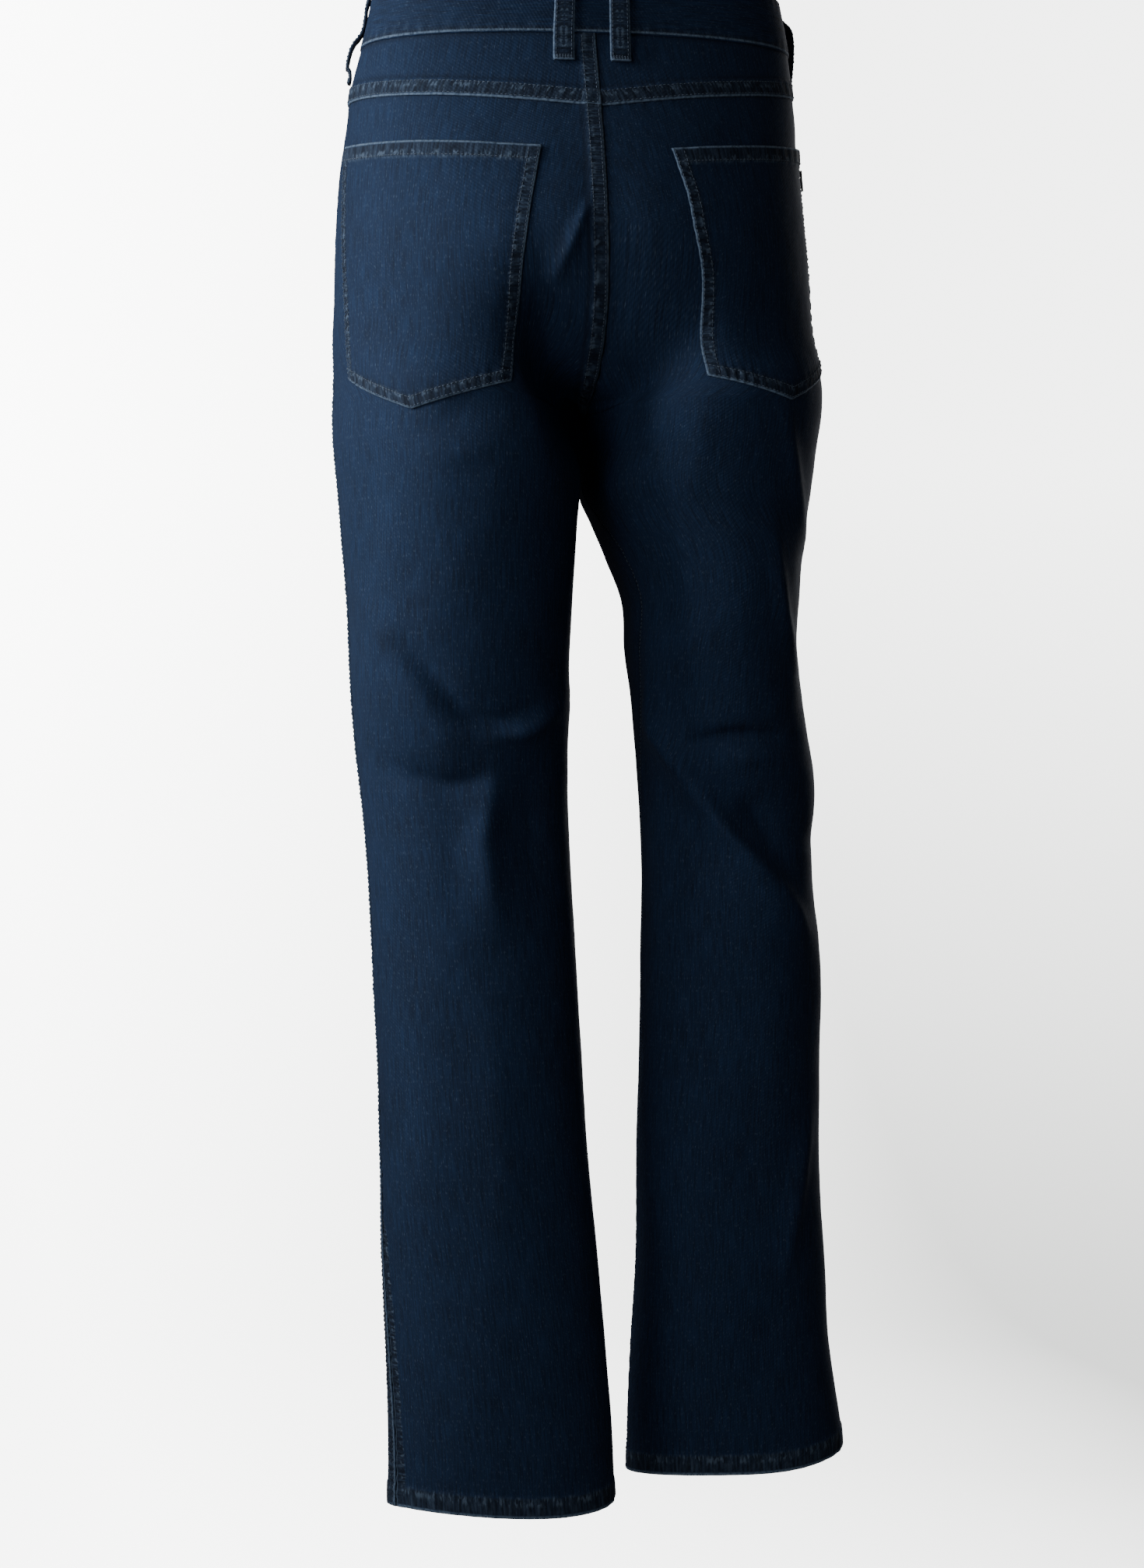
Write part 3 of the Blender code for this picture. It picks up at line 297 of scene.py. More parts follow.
def rawNormal(side, u, h):
    stepU, stepH = 0.004, 0.0015
    along = basePoint(side, np.minimum(u + stepU, 1.0), h) - basePoint(side, np.maximum(u - stepU, -1.0), h)
    up = basePoint(side, u, h + stepH) - basePoint(side, u, np.maximum(h - stepH, hems[side][0]))
    return unit(np.cross(along, up) * sign[side])


def seamNormal(side, back, h):
    # the way out at the middle seam and the inseam, shared by the cloth on both sides
    found = rawNormal(side, back * 0.995, h)
    other = rawNormal(side, -back * 0.995, h)
    share = np.clip((h - form["crotch"]) / form["forkRise"], 0.0, 1.0)
    zero = np.zeros_like(share)
    fork = np.stack([zero, back * np.sin(share * math.pi / 2), -np.cos(share * math.pi / 2)], axis=-1)
    torso = unit(found * np.array((0.0, 1.0, 1.0)))
    below = smooth(0.0, 0.03, form["crotch"] - h)[..., None]
    leg = mix(np.array((0.0, 0.0, -1.0)), unit(found + other), below)
    torso = np.where((h >= forkTop)[..., None], torso, fork)
    return np.where((h > form["crotch"])[..., None], torso, leg)


def outward(side, u, h):
    u, h = np.broadcast_arrays(np.asarray(u, float), np.asarray(h, float))
    found = rawNormal(side, np.clip(u, -0.995, 0.995), h)
    edge = seamNormal(side, np.where(u > 0, 1.0, -1.0), h)
    return unit(mix(found, edge, smooth(0.94, 1.0, np.abs(u))[..., None]))


# Folds, in millimetres: side, three spots each across and up in the photograph's view, width, and depth,
# which is below 0 for a trough
backFolds = (
    ("left", -24, -199, -12, -230, 2, -300, 12, -6),
    ("left", 4, -152, -2, -172, -13, -196, 6.5, 1.2),
    ("left", -12, -148, -19, -170, -23, -195, 7.5, -0.6),
    ("left", -93, -285, -70, -275, -40, -278, 12, -2.5),
    ("left", -111, -433, -82, -468, -50, -487, 13, -7.5),
    ("left", -123, -435, -85, -488, -44, -496, 15, 4.5),
    ("left", -44, -493, -24, -486, -8, -462, 11, 5),
    ("left", -115, -513, -86, -525, -56, -518, 9, -3.5),
    ("left", -53, -513, -60, -570, -53, -620, 14, 6),
    ("left", -26, -515, -25, -565, -20, -620, 20, -6),
    ("right", 83, -196, 74, -260, 62, -330, 14, -1),
    ("right", 142, -262, 150, -310, 160, -360, 6, 2.5),
    ("right", 136, -345, 143, -405, 154, -460, 6, 3),
    ("right", 50, -476, 85, -531, 124, -582, 11, 6),
    ("right", 52, -497, 78, -548, 108, -595, 16, -3.5),
    ("right", 83, -499, 115, -494, 154, -493, 8, -4.5),
    ("right", 112, -541, 138, -546, 165, -560, 15, -7),
    ("right", 124, -582, 142, -605, 160, -630, 12, 4.5),
    ("right", 166, -748, 156, -810, 150, -870, 6, 3),
    ("right", 142, -875, 132, -910, 138, -950, 16, -2.5),
)
frontFolds = (
    ("left", -120, -200, -75, -218, -25, -228, 9, -3.5),
    ("left", -125, -235, -80, -242, -35, -238, 8, 2.5),
    ("left", -120, -475, -80, -495, -25, -485, 12, -4.5),
    ("left", -115, -545, -75, -558, -35, -548, 11, -3.5),
    ("left", -100, -900, -65, -915, -25, -905, 12, -3),
    ("right", 125, -205, 85, -220, 30, -230, 9, -3.5),
    ("right", 135, -250, 95, -252, 45, -242, 8, 2.5),
    ("right", 150, -490, 110, -510, 75, -500, 12, -5),
    ("right", 165, -560, 120, -578, 85, -565, 11, -3.5),
    ("right", 160, -885, 125, -900, 90, -890, 12, -3),
)
# smaller creases of the cloth alone, in the same columns
backCreases = (
    ("left", 11, -140, 2, -161, -10, -186, 3.2, 4.2),
    ("left", -21, -190, -14, -225, -2, -270, 22, -8.5),
    ("left", -30, -205, -22, -235, -10, -275, 8, -2.5),
    ("left", -160, -270, -154.5, -325, -148, -380, 7, 2.2),
    ("left", -147, -385, -133, -415, -116, -442, 7, 2.6),
    ("left", -138, -290, -132, -330, -133, -370, 8, -1.4),
    ("left", -102, -300, -82, -308, -56, -302, 8, 1.4),
    ("left", -118, -428, -96, -455, -70, -480, 5.5, -2.8),
    ("left", -72, -480, -48, -483, -18, -470, 6, -4),
    ("left", -56, -492, -34, -489, -11, -472, 5, 3.6),
    ("left", -132, -502, -118, -520, -90, -524, 7, -2.4),
    ("left", -90, -525, -72, -525, -56, -516, 6, -2.2),
    ("left", -52, -515, -60, -560, -50, -613, 6.5, 3),
    ("left", -85, -545, -80, -580, -82, -620, 12, -1.4),
    ("left", -108, -680, -102, -760, -98, -840, 16, 1.6),
    ("left", -56, -670, -48, -760, -46, -850, 14, 1.8),
    ("left", -130, -812, -122, -860, -119, -950, 5, -1.8),
    ("left", -118, -985, -114, -1000, -112, -1016, 5, -2),
    ("right", 90, -270, 82, -310, 76, -360, 11, 1.8),
    ("right", 143.1, -272, 152, -310, 160, -353, 4, 1.8),
    ("right", 138.5, -364, 144, -405, 153.5, -444, 4, 2),
    ("right", 52, -452, 60, -490, 80, -515, 5.5, 4.2),
    ("right", 74.5, -506, 108.5, -557, 145.8, -596, 5.5, 5.6),
    ("right", 98, -512, 126, -540, 152, -585, 10, -5.6),
    ("right", 79, -496, 108, -491, 140, -490, 5, -4.2),
    ("right", 112, -505, 138, -506, 160, -514, 6, 2.2),
    ("right", 145.8, -596, 156, -612, 164, -630, 5, 2.4),
    ("right", 100, -610, 118, -650, 125, -700, 13, -1.6),
    ("right", 166, -760, 160, -810, 152, -860, 4, 2),
    ("right", 90, -680, 94, -770, 95, -860, 16, 1.8),
    ("right", 128, -700, 124, -780, 126, -860, 12, -1.4),
)
frontCreases = (
    ("left", -125, -105, -80, -150, -40, -190, 8, 1.6),
    ("left", -135, -215, -90, -225, -50, -220, 6, -2),
    ("left", -130, -260, -85, -275, -40, -264, 7, -1.8),
    ("left", -120, -460, -85, -475, -45, -468, 6, 2.4),
    ("left", -115, -515, -75, -530, -30, -518, 7, 2.2),
    ("left", -85, -620, -78, -720, -74, -820, 14, 1.8),
    ("left", -95, -935, -60, -948, -30, -940, 7, 1.8),
    ("right", 130, -105, 85, -152, 45, -188, 8, 1.6),
    ("right", 140, -218, 95, -228, 55, -222, 6, -2),
    ("right", 140, -270, 95, -282, 48, -268, 7, -1.8),
    ("right", 155, -470, 115, -488, 80, -480, 6, 2.4),
    ("right", 160, -535, 120, -548, 85, -538, 7, 2.2),
    ("right", 125, -640, 120, -740, 118, -830, 14, 1.8),
    ("right", 150, -920, 120, -934, 90, -926, 7, 1.8),
)


def alongLine(spots, start, end):
    run = end - start
    share = np.clip(((spots - start) @ run) / (run @ run), 0.0, 1.0)
    return np.linalg.norm(spots - start - run * share[..., None], axis=-1), share


def foldHeight(side, u, points):
    seen = viewRight.x * points[..., 0] + viewRight.y * points[..., 1]
    total = np.zeros(u.shape)
    sides = ((backFolds + backCreases, seen, u > 0), (frontFolds + frontCreases, -points[..., 0], u <= 0))
    for folds, across, here in sides:
        spots = np.stack([across, points[..., 2]], axis=-1)
        for name, *values in folds:
            if name != side or not here.any():
                continue
            x0, z0, x1, z1, x2, z2, width, depth = np.array(values) / 1000
            start, bend, end = np.array((x0, z0)), np.array((x1, z1)), np.array((x2, z2))
            first, second = alongLine(spots, start, bend), alongLine(spots, bend, end)
            near = np.minimum(first[0], second[0])
            place = np.where(first[0] <= second[0], first[1] / 2, 0.5 + second[1] / 2)
            # a real fold's crest is sharper than its flanks
            crest = np.exp(-1.1 * (np.sqrt(near**2 + 0.0016**2) - 0.0016) / width)
            height = depth * mix(hump(near, width), crest, 0.45)
            total = total + np.where(here, height * np.sin(math.pi * mix(0.12, 0.88, place)), 0.0)
    return total * smooth(0.0, 0.10, np.abs(u)) * (1.0 - smooth(0.93, 1.0, np.abs(u)))


def unevenness(points):
    # the soft hollows of worn cloth, which fade out towards the waistband
    fade = smooth(-0.03, -0.09, points[..., 2])
    stretched = points * np.array((1.0, 1.0, 0.55))
    broad, fine = softNoise(stretched, 0.060, 4), softNoise(stretched, 0.023, 9)
    return fade * (0.0011 * broad + 0.00045 * fine + 0.00012 * softNoise(points, 0.009, 14))


def surface(side, u, h, lift=0.0):
    u, h = np.broadcast_arrays(np.asarray(u, float), np.asarray(h, float))
    points = basePoint(side, u, h)
    height = foldHeight(side, u, points) + unevenness(points) * (1.0 - smooth(0.93, 1.0, np.abs(u)))
    points = points + outward(side, u, h) * (height + lift)[..., None]
    middle = leanAt(np.ones_like(u), points[..., 2])
    kept = middle + sign[side] * np.maximum(sign[side] * (points[..., 0] - middle), form["gap"] / 2)
    points[..., 0] = np.where(h > form["crotch"] - 0.06, kept, points[..., 0])
    return points


def ringPoint(angle, z, lift):
    # a point round the waist, at an angle from the front towards the wearer's left
    angle, z, lift = np.broadcast_arrays(*(np.asarray(value, float) for value in (angle, z, lift)))
    angle = (angle + 180.0) % 360.0 - 180.0
    turned = np.abs(angle)
    seam = 90.0 + form["sideSeam"]
    u = np.where(turned < seam, (turned - seam) / seam, (turned - seam) / (180.0 - seam))
    lean = leanAt(u, z)[..., None] * np.array((1.0, 0.0, 0.0))
    mirror = np.stack([np.where(angle >= 0, 1.0, -1.0), np.ones_like(u), np.ones_like(u)], axis=-1)
    points = (basePoint("left", u, z) - lean) * mirror + lean
    out = rawNormal("left", np.clip(u, -0.995, 0.995), z) * mirror
    out[..., 0] = np.where(np.abs(u) > 0.995, 0.0, out[..., 0])
    return points + unit(out) * lift[..., None]


def frontPoint(x, z, lift):
    # a point of the front near its middle, by its distance from the centre front
    x, z, lift = np.broadcast_arrays(np.asarray(x, float), np.asarray(z, float), np.asarray(lift, float))
    halfWidth = readTable(torsoRows, z)[1]
    points, out = np.zeros(x.shape + (3,)), np.zeros(x.shape + (3,))
    for side, here in (("left", x >= 0), ("right", x < 0)):
        u = -1.0 + np.abs(x) / halfWidth * 90.0 / (90.0 + form["sideSeam"]) * 2.0 / math.pi
        for _ in range(12):
            off = np.abs(basePoint(side, u, z)[..., 0]) - np.abs(x)
            u = np.clip(u - off / halfWidth * 0.6, -1.0, -0.3)
        points = np.where(here[..., None], surface(side, u, z), points)
        out = np.where(here[..., None], rawNormal(side, np.maximum(u, -0.995), z), out)
    points[..., 0] = x
    out[..., 0] = np.where(np.abs(x) < 0.0005, 0.0, out[..., 0])
    return points + unit(out) * lift[..., None]


# Materials


class Wire:
    # a socket of a material, which adds, multiplies and so on by making the nodes for it

    def __init__(self, shader, socket):
        self.shader, self.socket = shader, socket

    def __add__(self, other):
        return self.shader.math("ADD", self, other)

    def __mul__(self, other):
        return self.shader.math("MULTIPLY", self, other)

    def range(self, low, high, toLow=0.0, toHigh=1.0):
        values = {"Value": self, "From Min": low, "From Max": high, "To Min": toLow, "To Max": toHigh}
        return self.shader.node("ShaderNodeMapRange", values)

    def part(self, name):
        return Wire(self.shader, self.socket.node.outputs[name])


class Shader:
    def __init__(self, name, roughness=0.8, metallic=0.0):
        self.material = bpy.data.materials.new(name)
        self.material.use_nodes = True
        self.tree = self.material.node_tree
        self.principled = self.tree.nodes["Principled BSDF"]
        self.principled.inputs["Roughness"].default_value = roughness
        self.principled.inputs["Metallic"].default_value = metallic

    def node(self, kind, inputs=None, **settings):
        made = self.tree.nodes.new(kind)
        for key, value in settings.items():
            setattr(made, key, value)
        for key, value in (inputs or {}).items():
            if isinstance(value, Wire):
                self.tree.links.new(value.socket, made.inputs[key])
            else:
                made.inputs[key].default_value = value
        return Wire(self, next(output for output in made.outputs if output.enabled))

    def math(self, operation, a, b):
        return self.node("ShaderNodeMath", {0: a, 1: b}, operation=operation)

    def noise(self, vector, scale, detail=2.0, roughness=0.5):
        values = {"Vector": vector, "Scale": scale, "Detail": detail, "Roughness": roughness}
        return self.node("ShaderNodeTexNoise", values)

    def stretch(self, vector, scale):
        return self.node("ShaderNodeMapping", {"Vector": vector, "Scale": scale})

    def blend(self, share, a, b):
        values = {0: share, 6: a, 7: b}
        made = self.node("ShaderNodeMix", values, data_type="RGBA")
        return Wire(self, made.socket.node.outputs[2])

    def attribute(self, name):
        return self.node("ShaderNodeAttribute", attribute_name=name).part("Fac")

    def set(self, name, wire):
        self.tree.links.new(wire.socket, self.principled.inputs[name])

    def bump(self, height, strength, distance):
        inputs = {"Height": height, "Strength": strength, "Distance": distance}
        self.set("Normal", self.node("ShaderNodeBump", inputs))


def denimMaterial(name, look):
    shader = Shader(name, roughness=look["roughness"])
    shader.principled.inputs["Specular IOR Level"].default_value = 0.25
    flat = shader.node("ShaderNodeUVMap", uv_map="Cloth")
    slub = shader.noise(shader.stretch(flat, (1020.0, 48.0, 1.0)), 1.0, 3.0, 0.65)
    weft = shader.noise(shader.stretch(flat, (120.0, 1300.0, 1.0)), 1.0, 2.0)
    fleck = shader.noise(shader.stretch(flat, (1500.0, 330.0, 1.0)), 1.0, 2.0)
    cloud = shader.noise(shader.stretch(flat, (26.0, 11.0, 1.0)), 1.0, 3.0)
    turned = shader.node("ShaderNodeMapping", {"Vector": flat, "Rotation": (0.0, 0.0, math.radians(58.0))})
    twill = shader.node("ShaderNodeTexWave", {"Vector": turned, "Scale": 160.0, "Distortion": 1.2})
    tone = slub.range(0.36, 0.66) * 0.80 + weft.range(0.3, 0.7) * 0.06 + cloud.range(0.3, 0.7) * 0.26
    colour = shader.blend(tone, look["dark"], look["mid"])
    colour = shader.blend(fleck.range(0.60, 0.74) * look["flecks"], colour, look["light"])
    # the seams' own map: the run along a seam, and the distance in from its edge, both in millimetres
    seam = shader.node("ShaderNodeUVMap", uv_map="Seam")
    away = shader.node("ShaderNodeSeparateXYZ", {"Vector": seam}).part("Y")
    strength = shader.attribute("sewn")
    mottle = shader.noise(shader.stretch(flat, (420.0, 160.0, 1.0)), 1.0, 3.0).range(0.36, 0.66)
    ribs = shader.noise(shader.stretch(seam, (0.60, 0.07, 1.0)), 1.0, 2.0, 0.6)
    dabs = shader.noise(shader.stretch(seam, (0.46, 0.20, 1.0)), 1.0, 1.0, 0.5)
    edge = away.range(-0.2, 0.35) * away.range(0.9, 1.9, 1.0, 0.0)
    between = away.range(1.2, 2.2) * away.range(look["lap"], look["lap"] + 1.2, 1.0, 0.0)
    inner = away.range(look["lap"] - 4.2, look["lap"] - 2.4)
    inner = inner * away.range(look["lap"] + 0.4, look["lap"] + 2.0, 1.0, 0.0)
    raised = between * ribs.range(0.54, 0.74) * 0.34 + inner * dabs.range(0.52, 0.64) * 0.70
    colour = shader.blend(between * strength * 0.55, colour, look["faded"])
    # the rib troughs of a seam band darker: partly indigo the wear has not reached, partly painted shade
    colour = shader.blend(between * ribs.range(0.56, 0.40) * strength * 0.75, colour, look["deep"])
    colour = shader.blend(raised * strength * look["wear"], colour, look["light"])
    edge = edge * dabs.range(0.30, 0.55, 0.35, 1.0)
    colour = shader.blend(edge * strength * look["edge"], colour, look["light"])
    worn = shader.attribute("worn")
    colour = shader.blend(worn * mottle * look["wear"], colour, look["light"])
    # painted shade: this attribute darkens the colour towards the deep tone in seam grooves, pucker troughs,
    # beside raised edges, under laps and over the side loops
    colour = shader.blend(shader.attribute("shade") * look["shade"], colour, look["deep"])
    shader.set("Base Color", colour)
    height = slub * 0.55 + twill * 0.30 + weft * 0.15 + raised * strength * 1.1
    shader.bump(height, 0.60, 0.00040)
    return shader.material


denimLook = {
    "roughness": 0.86,
    "dark": (0.0042, 0.0125, 0.034, 1.0),
    "mid": (0.0120, 0.0345, 0.094, 1.0),
    "light": (0.140, 0.210, 0.320, 1.0),
    # deep: the tone that painted shade, and the darker rib troughs of seam bands, lead towards
    "deep": (0.0025, 0.006, 0.016, 1.0),
    "faded": (0.020, 0.033, 0.060, 1.0),
    "flecks": 0.32,
    "wear": 0.60,
    "edge": 1.0,
    "shade": 0.7,
    "lap": 9.6,
}
insideTones = {"dark": (0.055, 0.075, 0.110, 1.0), "mid": (0.150, 0.185, 0.230, 1.0)}
insideLook = {**denimLook, **insideTones, "flecks": 0.5, "wear": 0.3}
denim = denimMaterial("denim outside", denimLook)
denimInside = denimMaterial("denim inside", insideLook)


def plainCloth(name, colour, light, scale):
    shader = Shader(name, roughness=0.8)
    place = shader.node("ShaderNodeTexCoord").part("Object")
    weave = shader.noise(shader.stretch(place, (scale, scale, scale)), 1.0, 2.0)
    shader.set("Base Color", shader.blend(weave.range(0.35, 0.7), colour, light))
    shader.bump(weave, 0.4, 0.0002)
    return shader.material


thread = plainCloth("stitching thread", (0.050, 0.078, 0.125, 1.0), (0.130, 0.175, 0.250, 1.0), 2600.0)
tabCloth = plainCloth("tab tape", (0.006, 0.006, 0.008, 1.0), (0.020, 0.020, 0.023, 1.0), 3000.0)
zipCloth = plainCloth("zip tape cloth", (0.010, 0.014, 0.028, 1.0), (0.030, 0.038, 0.060, 1.0), 3000.0)


def brassMaterial():
    shader = Shader("antiqued brass", roughness=0.38, metallic=1.0)
    spots = shader.noise(shader.node("ShaderNodeTexCoord").part("Object"), 420.0, 3.0)
    dull, bright = (0.30, 0.23, 0.15, 1.0), (0.56, 0.47, 0.34, 1.0)
    shader.set("Base Color", shader.blend(spots.range(0.3, 0.7), dull, bright))
    shader.set("Roughness", spots.range(0.2, 0.8, 0.28, 0.52))
    return shader.material


brass = brassMaterial()
print("materials are made")

# Mesh makers


def addPiece(name, mesh, *skins):
    for skin in skins:
        mesh.materials.append(skin)
    piece = bpy.data.objects.new(name, mesh)
    bpy.context.scene.collection.objects.link(piece)
    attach(piece, "root")
    return piece


def clothGrid(name, columns, rows, place, thickness=None, skins=(denim, denimInside), closed=False):
    # a grid of cloth, whose points come from place(across, down), both from 0 to 1
    shaper = bmesh.new()
    bmesh.ops.create_grid(shaper, x_segments=columns, y_segments=rows, size=0.5)
    mesh = bpy.data.meshes.new(name)
    shaper.to_mesh(mesh)
    shaper.free()
    flat = np.empty(len(mesh.vertices) * 3)
    mesh.vertices.foreach_get("co", flat)
    flat = flat.reshape(rows + 1, columns + 1, 3)
    made = place(flat[..., 0] + 0.5, 0.5 - flat[..., 1])
    points = made["points"]
    mesh.vertices.foreach_set("co", points.ravel())
    corners = np.empty(len(mesh.loops), dtype=int)
    mesh.loops.foreach_get("vertex_index", corners)
    # where a piece has no seam of this kind, its seam map lies far from any edge
    nowhere = np.full(points.shape[:2] + (2,), 90.0)
    for label, places in (("Cloth", made["flat"]), ("Seam", made.get("seam", nowhere))):
        layer = mesh.uv_layers.new(name=label)
        layer.data.foreach_set("uv", places.reshape(-1, 2)[corners].ravel())
    for key in ("worn", "shade", "sewn"):
        values = np.clip(np.broadcast_to(made.get(key, 0.0), points.shape[:2]).astype(float), 0.0, 1.0)
        mesh.attributes.new(key, "FLOAT", "POINT").data.foreach_set("value", values.ravel())
    across = np.gradient(points, axis=1)
    down = np.gradient(points, axis=0)
    facing = np.cross(down, across)
    middle = (rows // 3, columns // 2)
    if np.dot(facing[middle], made["out"][middle]) < 0:
        facing = -facing
    face = mesh.polygons[len(mesh.polygons) // 3]
    nearest = np.argmin(np.linalg.norm(points.reshape(-1, 3) - np.array(face.center), axis=1))
    if np.dot(np.array(face.normal), facing.reshape(-1, 3)[nearest]) < 0:
        mesh.flip_normals()
    if closed:
        shaper = bmesh.new()
        shaper.from_mesh(mesh)
        bmesh.ops.remove_doubles(shaper, verts=shaper.verts, dist=0.00002)
        bmesh.ops.holes_fill(shaper, edges=[edge for edge in shaper.edges if edge.is_boundary])
        shaper.to_mesh(mesh)
        shaper.free()
    mesh.shade_smooth()
    piece = addPiece(f"{name}_cloth", mesh, *skins)
    if thickness:
        solid = piece.modifiers.new("Cloth", "SOLIDIFY")
        solid.thickness = thickness
        solid.offset = -1.0
        solid.material_offset = 1
        if "thin" in made:
            # the cloth is drawn thinner where it bends too sharply for its wall
            full = piece.vertex_groups.new(name="Full")
            for index, weight in enumerate(1.0 - made["thin"].ravel()):
                full.add([index], float(weight), "REPLACE")
            solid.vertex_group = full.name
            solid.thickness_vertex_group = 0.08
    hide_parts(name)
    tree = BVHTree.FromPolygons([Vector(point) for point in points.reshape(-1, 3)], gridFaces(rows, columns))
    found = tree.find_nearest(Vector(points[middle]))[1]
    turned = 1.0 if np.dot(np.array(found), unit(facing)[middle]) > 0 else -1.0
    made.update(piece=piece, tree=tree, turned=turned)
    return made


def gridFaces(rows, columns):
    wide = columns + 1
    return [
        (i * wide + j, i * wide + j + 1, (i + 1) * wide + j + 1, (i + 1) * wide + j)
        for i in range(rows)
        for j in range(columns)
    ]


def traceRows(points, field, value):
    # one spot on each row, where the field passes the value
    return traceColumns(np.swapaxes(points, 0, 1), np.swapaxes(field, 0, 1), value)


def traceColumns(points, field, value):
    spots = []
    for j in range(field.shape[1]):
        order = np.argsort(field[:, j])
        if field[order[0], j] <= value <= field[order[-1], j]:
            spots.append([np.interp(value, field[order, j], points[order, j, k]) for k in range(3)])
    return np.array(spots)


def sew(name, made, lines, pitch=0.0031, length=0.0024, width=0.00050):
    # real stitches, snapped to the cloth, whose ends sink into it
    shares = np.array((0.0, 0.3, 0.7, 1.0))
    lifts = np.array((-0.25, 0.42, 0.42, -0.25)) * width
    sizes = np.array((0.55, 1.0, 1.0, 0.55)) * width / 2
    turns = np.linspace(0.0, 2 * math.pi, 5, endpoint=False)
    centres, outs = [], []
    for line in lines:
        line = np.asarray(line)
        if len(line) < 2:
            continue
        walked = np.concatenate([[0.0], np.cumsum(np.linalg.norm(np.diff(line, axis=0), axis=1))])
        starts = np.arange(pitch * 0.3, walked[-1] - length, pitch)
        for start in starts:
            along = [start + length * share for share in shares]
            spots = [[np.interp(spot, walked, line[:, k]) for k in range(3)] for spot in along]
            found = [made["tree"].find_nearest(Vector(spot)) for spot in spots]
            if any(item[0] is None for item in found):
                continue
            centres.append([tuple(item[0]) for item in found])
            outs.append([tuple(item[1]) for item in found])
    centres, outs = np.array(centres), np.array(outs)
    outs = outs * made["turned"]
    tangents = unit(centres[:, -1:] - centres[:, :1])
    sides = unit(np.cross(np.broadcast_to(tangents, outs.shape), outs))
    centres = centres + outs * lifts[None, :, None]
    sideways = sides[:, :, None] * np.cos(turns)[None, None, :, None]
    upwards = outs[:, :, None] * np.sin(turns)[None, None, :, None]
    rings = centres[:, :, None] + sizes[None, :, None, None] * (sideways + upwards)
    count, sections, around = rings.shape[:3]
    first = np.arange(count)[:, None] * sections * around
    ring = first[:, :, None] + np.arange(sections - 1)[None, :, None] * around
    turn = np.arange(around)[None, None, :]
    following = (turn + 1) % around
    quads = np.stack([ring + turn, ring + following, ring + around + following, ring + around + turn], -1)
    faces = quads.reshape(-1, 4).tolist()
    starts = (first + np.arange(around)[None, ::-1]).tolist()
    ends = (first + (sections - 1) * around + np.arange(around)[None]).tolist()
    mesh = bpy.data.meshes.new(name)
    mesh.from_pydata(rings.reshape(-1, 3).tolist(), [], faces + starts + ends)
    mesh.shade_smooth()
    return addPiece(name, mesh, thread)


# Back and front panels, from the yoke or waistband down to the hem, which turns up inside

panelLook = {
    "columns": 84,
    # down to the fork, round it, down the leg, down the hem, and up inside it
    "rows": (56, 34, 300, 16, 8),
    "bandRaise": 0.0008,
    "bandWidth": 0.0115,
    "hem": 0.0150,
    "hemRaise": 0.0005,
    "hemStitch": 0.0128,
    "stitches": (0.0022, 0.0096),
    "sideStitches": (0.0020, 0.0096),
    "scoopFoot": -0.1000,
    "scoopRows": 0.62,
    "touch": 0.0045,
}


def yokeEdge(side, u):
    return mix(form["yokeSide"][side], form["yokeCentre"], np.abs(u) ** 1.8)


def scoopEdge(z):
    share = np.clip((form["waistSeam"] - z) / (form["waistSeam"] - panelLook["scoopFoot"]), 0.0, 1.0)
    return 0.44 * np.sqrt(np.maximum(1.0 - share**2, 0.0))


def closeAtEnds(across):
    # columns stand closer together near the two seams
    return across - 0.5 * np.sin(2 * math.pi * across) / (2 * math.pi)


def band(distance, width, soft=0.0009):
    return 1.0 - smooth(width - soft, width + soft, distance)


def puckers(along, distance, reach, seed, period=0.0085):
    # the short ridges that sewing draws up across a seam
    phase = along / period + 0.9 * wander(along, period * 3.1, seed)
    size = 0.65 + 0.35 * wander(along, period * 2.3, seed + 1)
    return np.sin(2 * math.pi * phase) * size * hump(distance, reach)


def seamMap(*edges):
    # a piece's seam map in millimetres: of several edges, each a run and a distance in, the nearest one wins
    found = None
    for run, away in edges:
        run, away = np.broadcast_arrays(np.asarray(run, float) * 1000, np.asarray(away, float) * 1000)
        spot = np.stack([run, away], axis=-1)
        found = spot if found is None else np.where((spot[..., 1] < found[..., 1])[..., None], spot, found)
    return found


def walked(points, axis):
    steps = np.linalg.norm(np.diff(points, axis=axis), axis=-1)
    shape = list(steps.shape)
    shape[axis] = 1
    return np.concatenate([np.zeros(shape), np.cumsum(steps, axis=axis)], axis=axis)


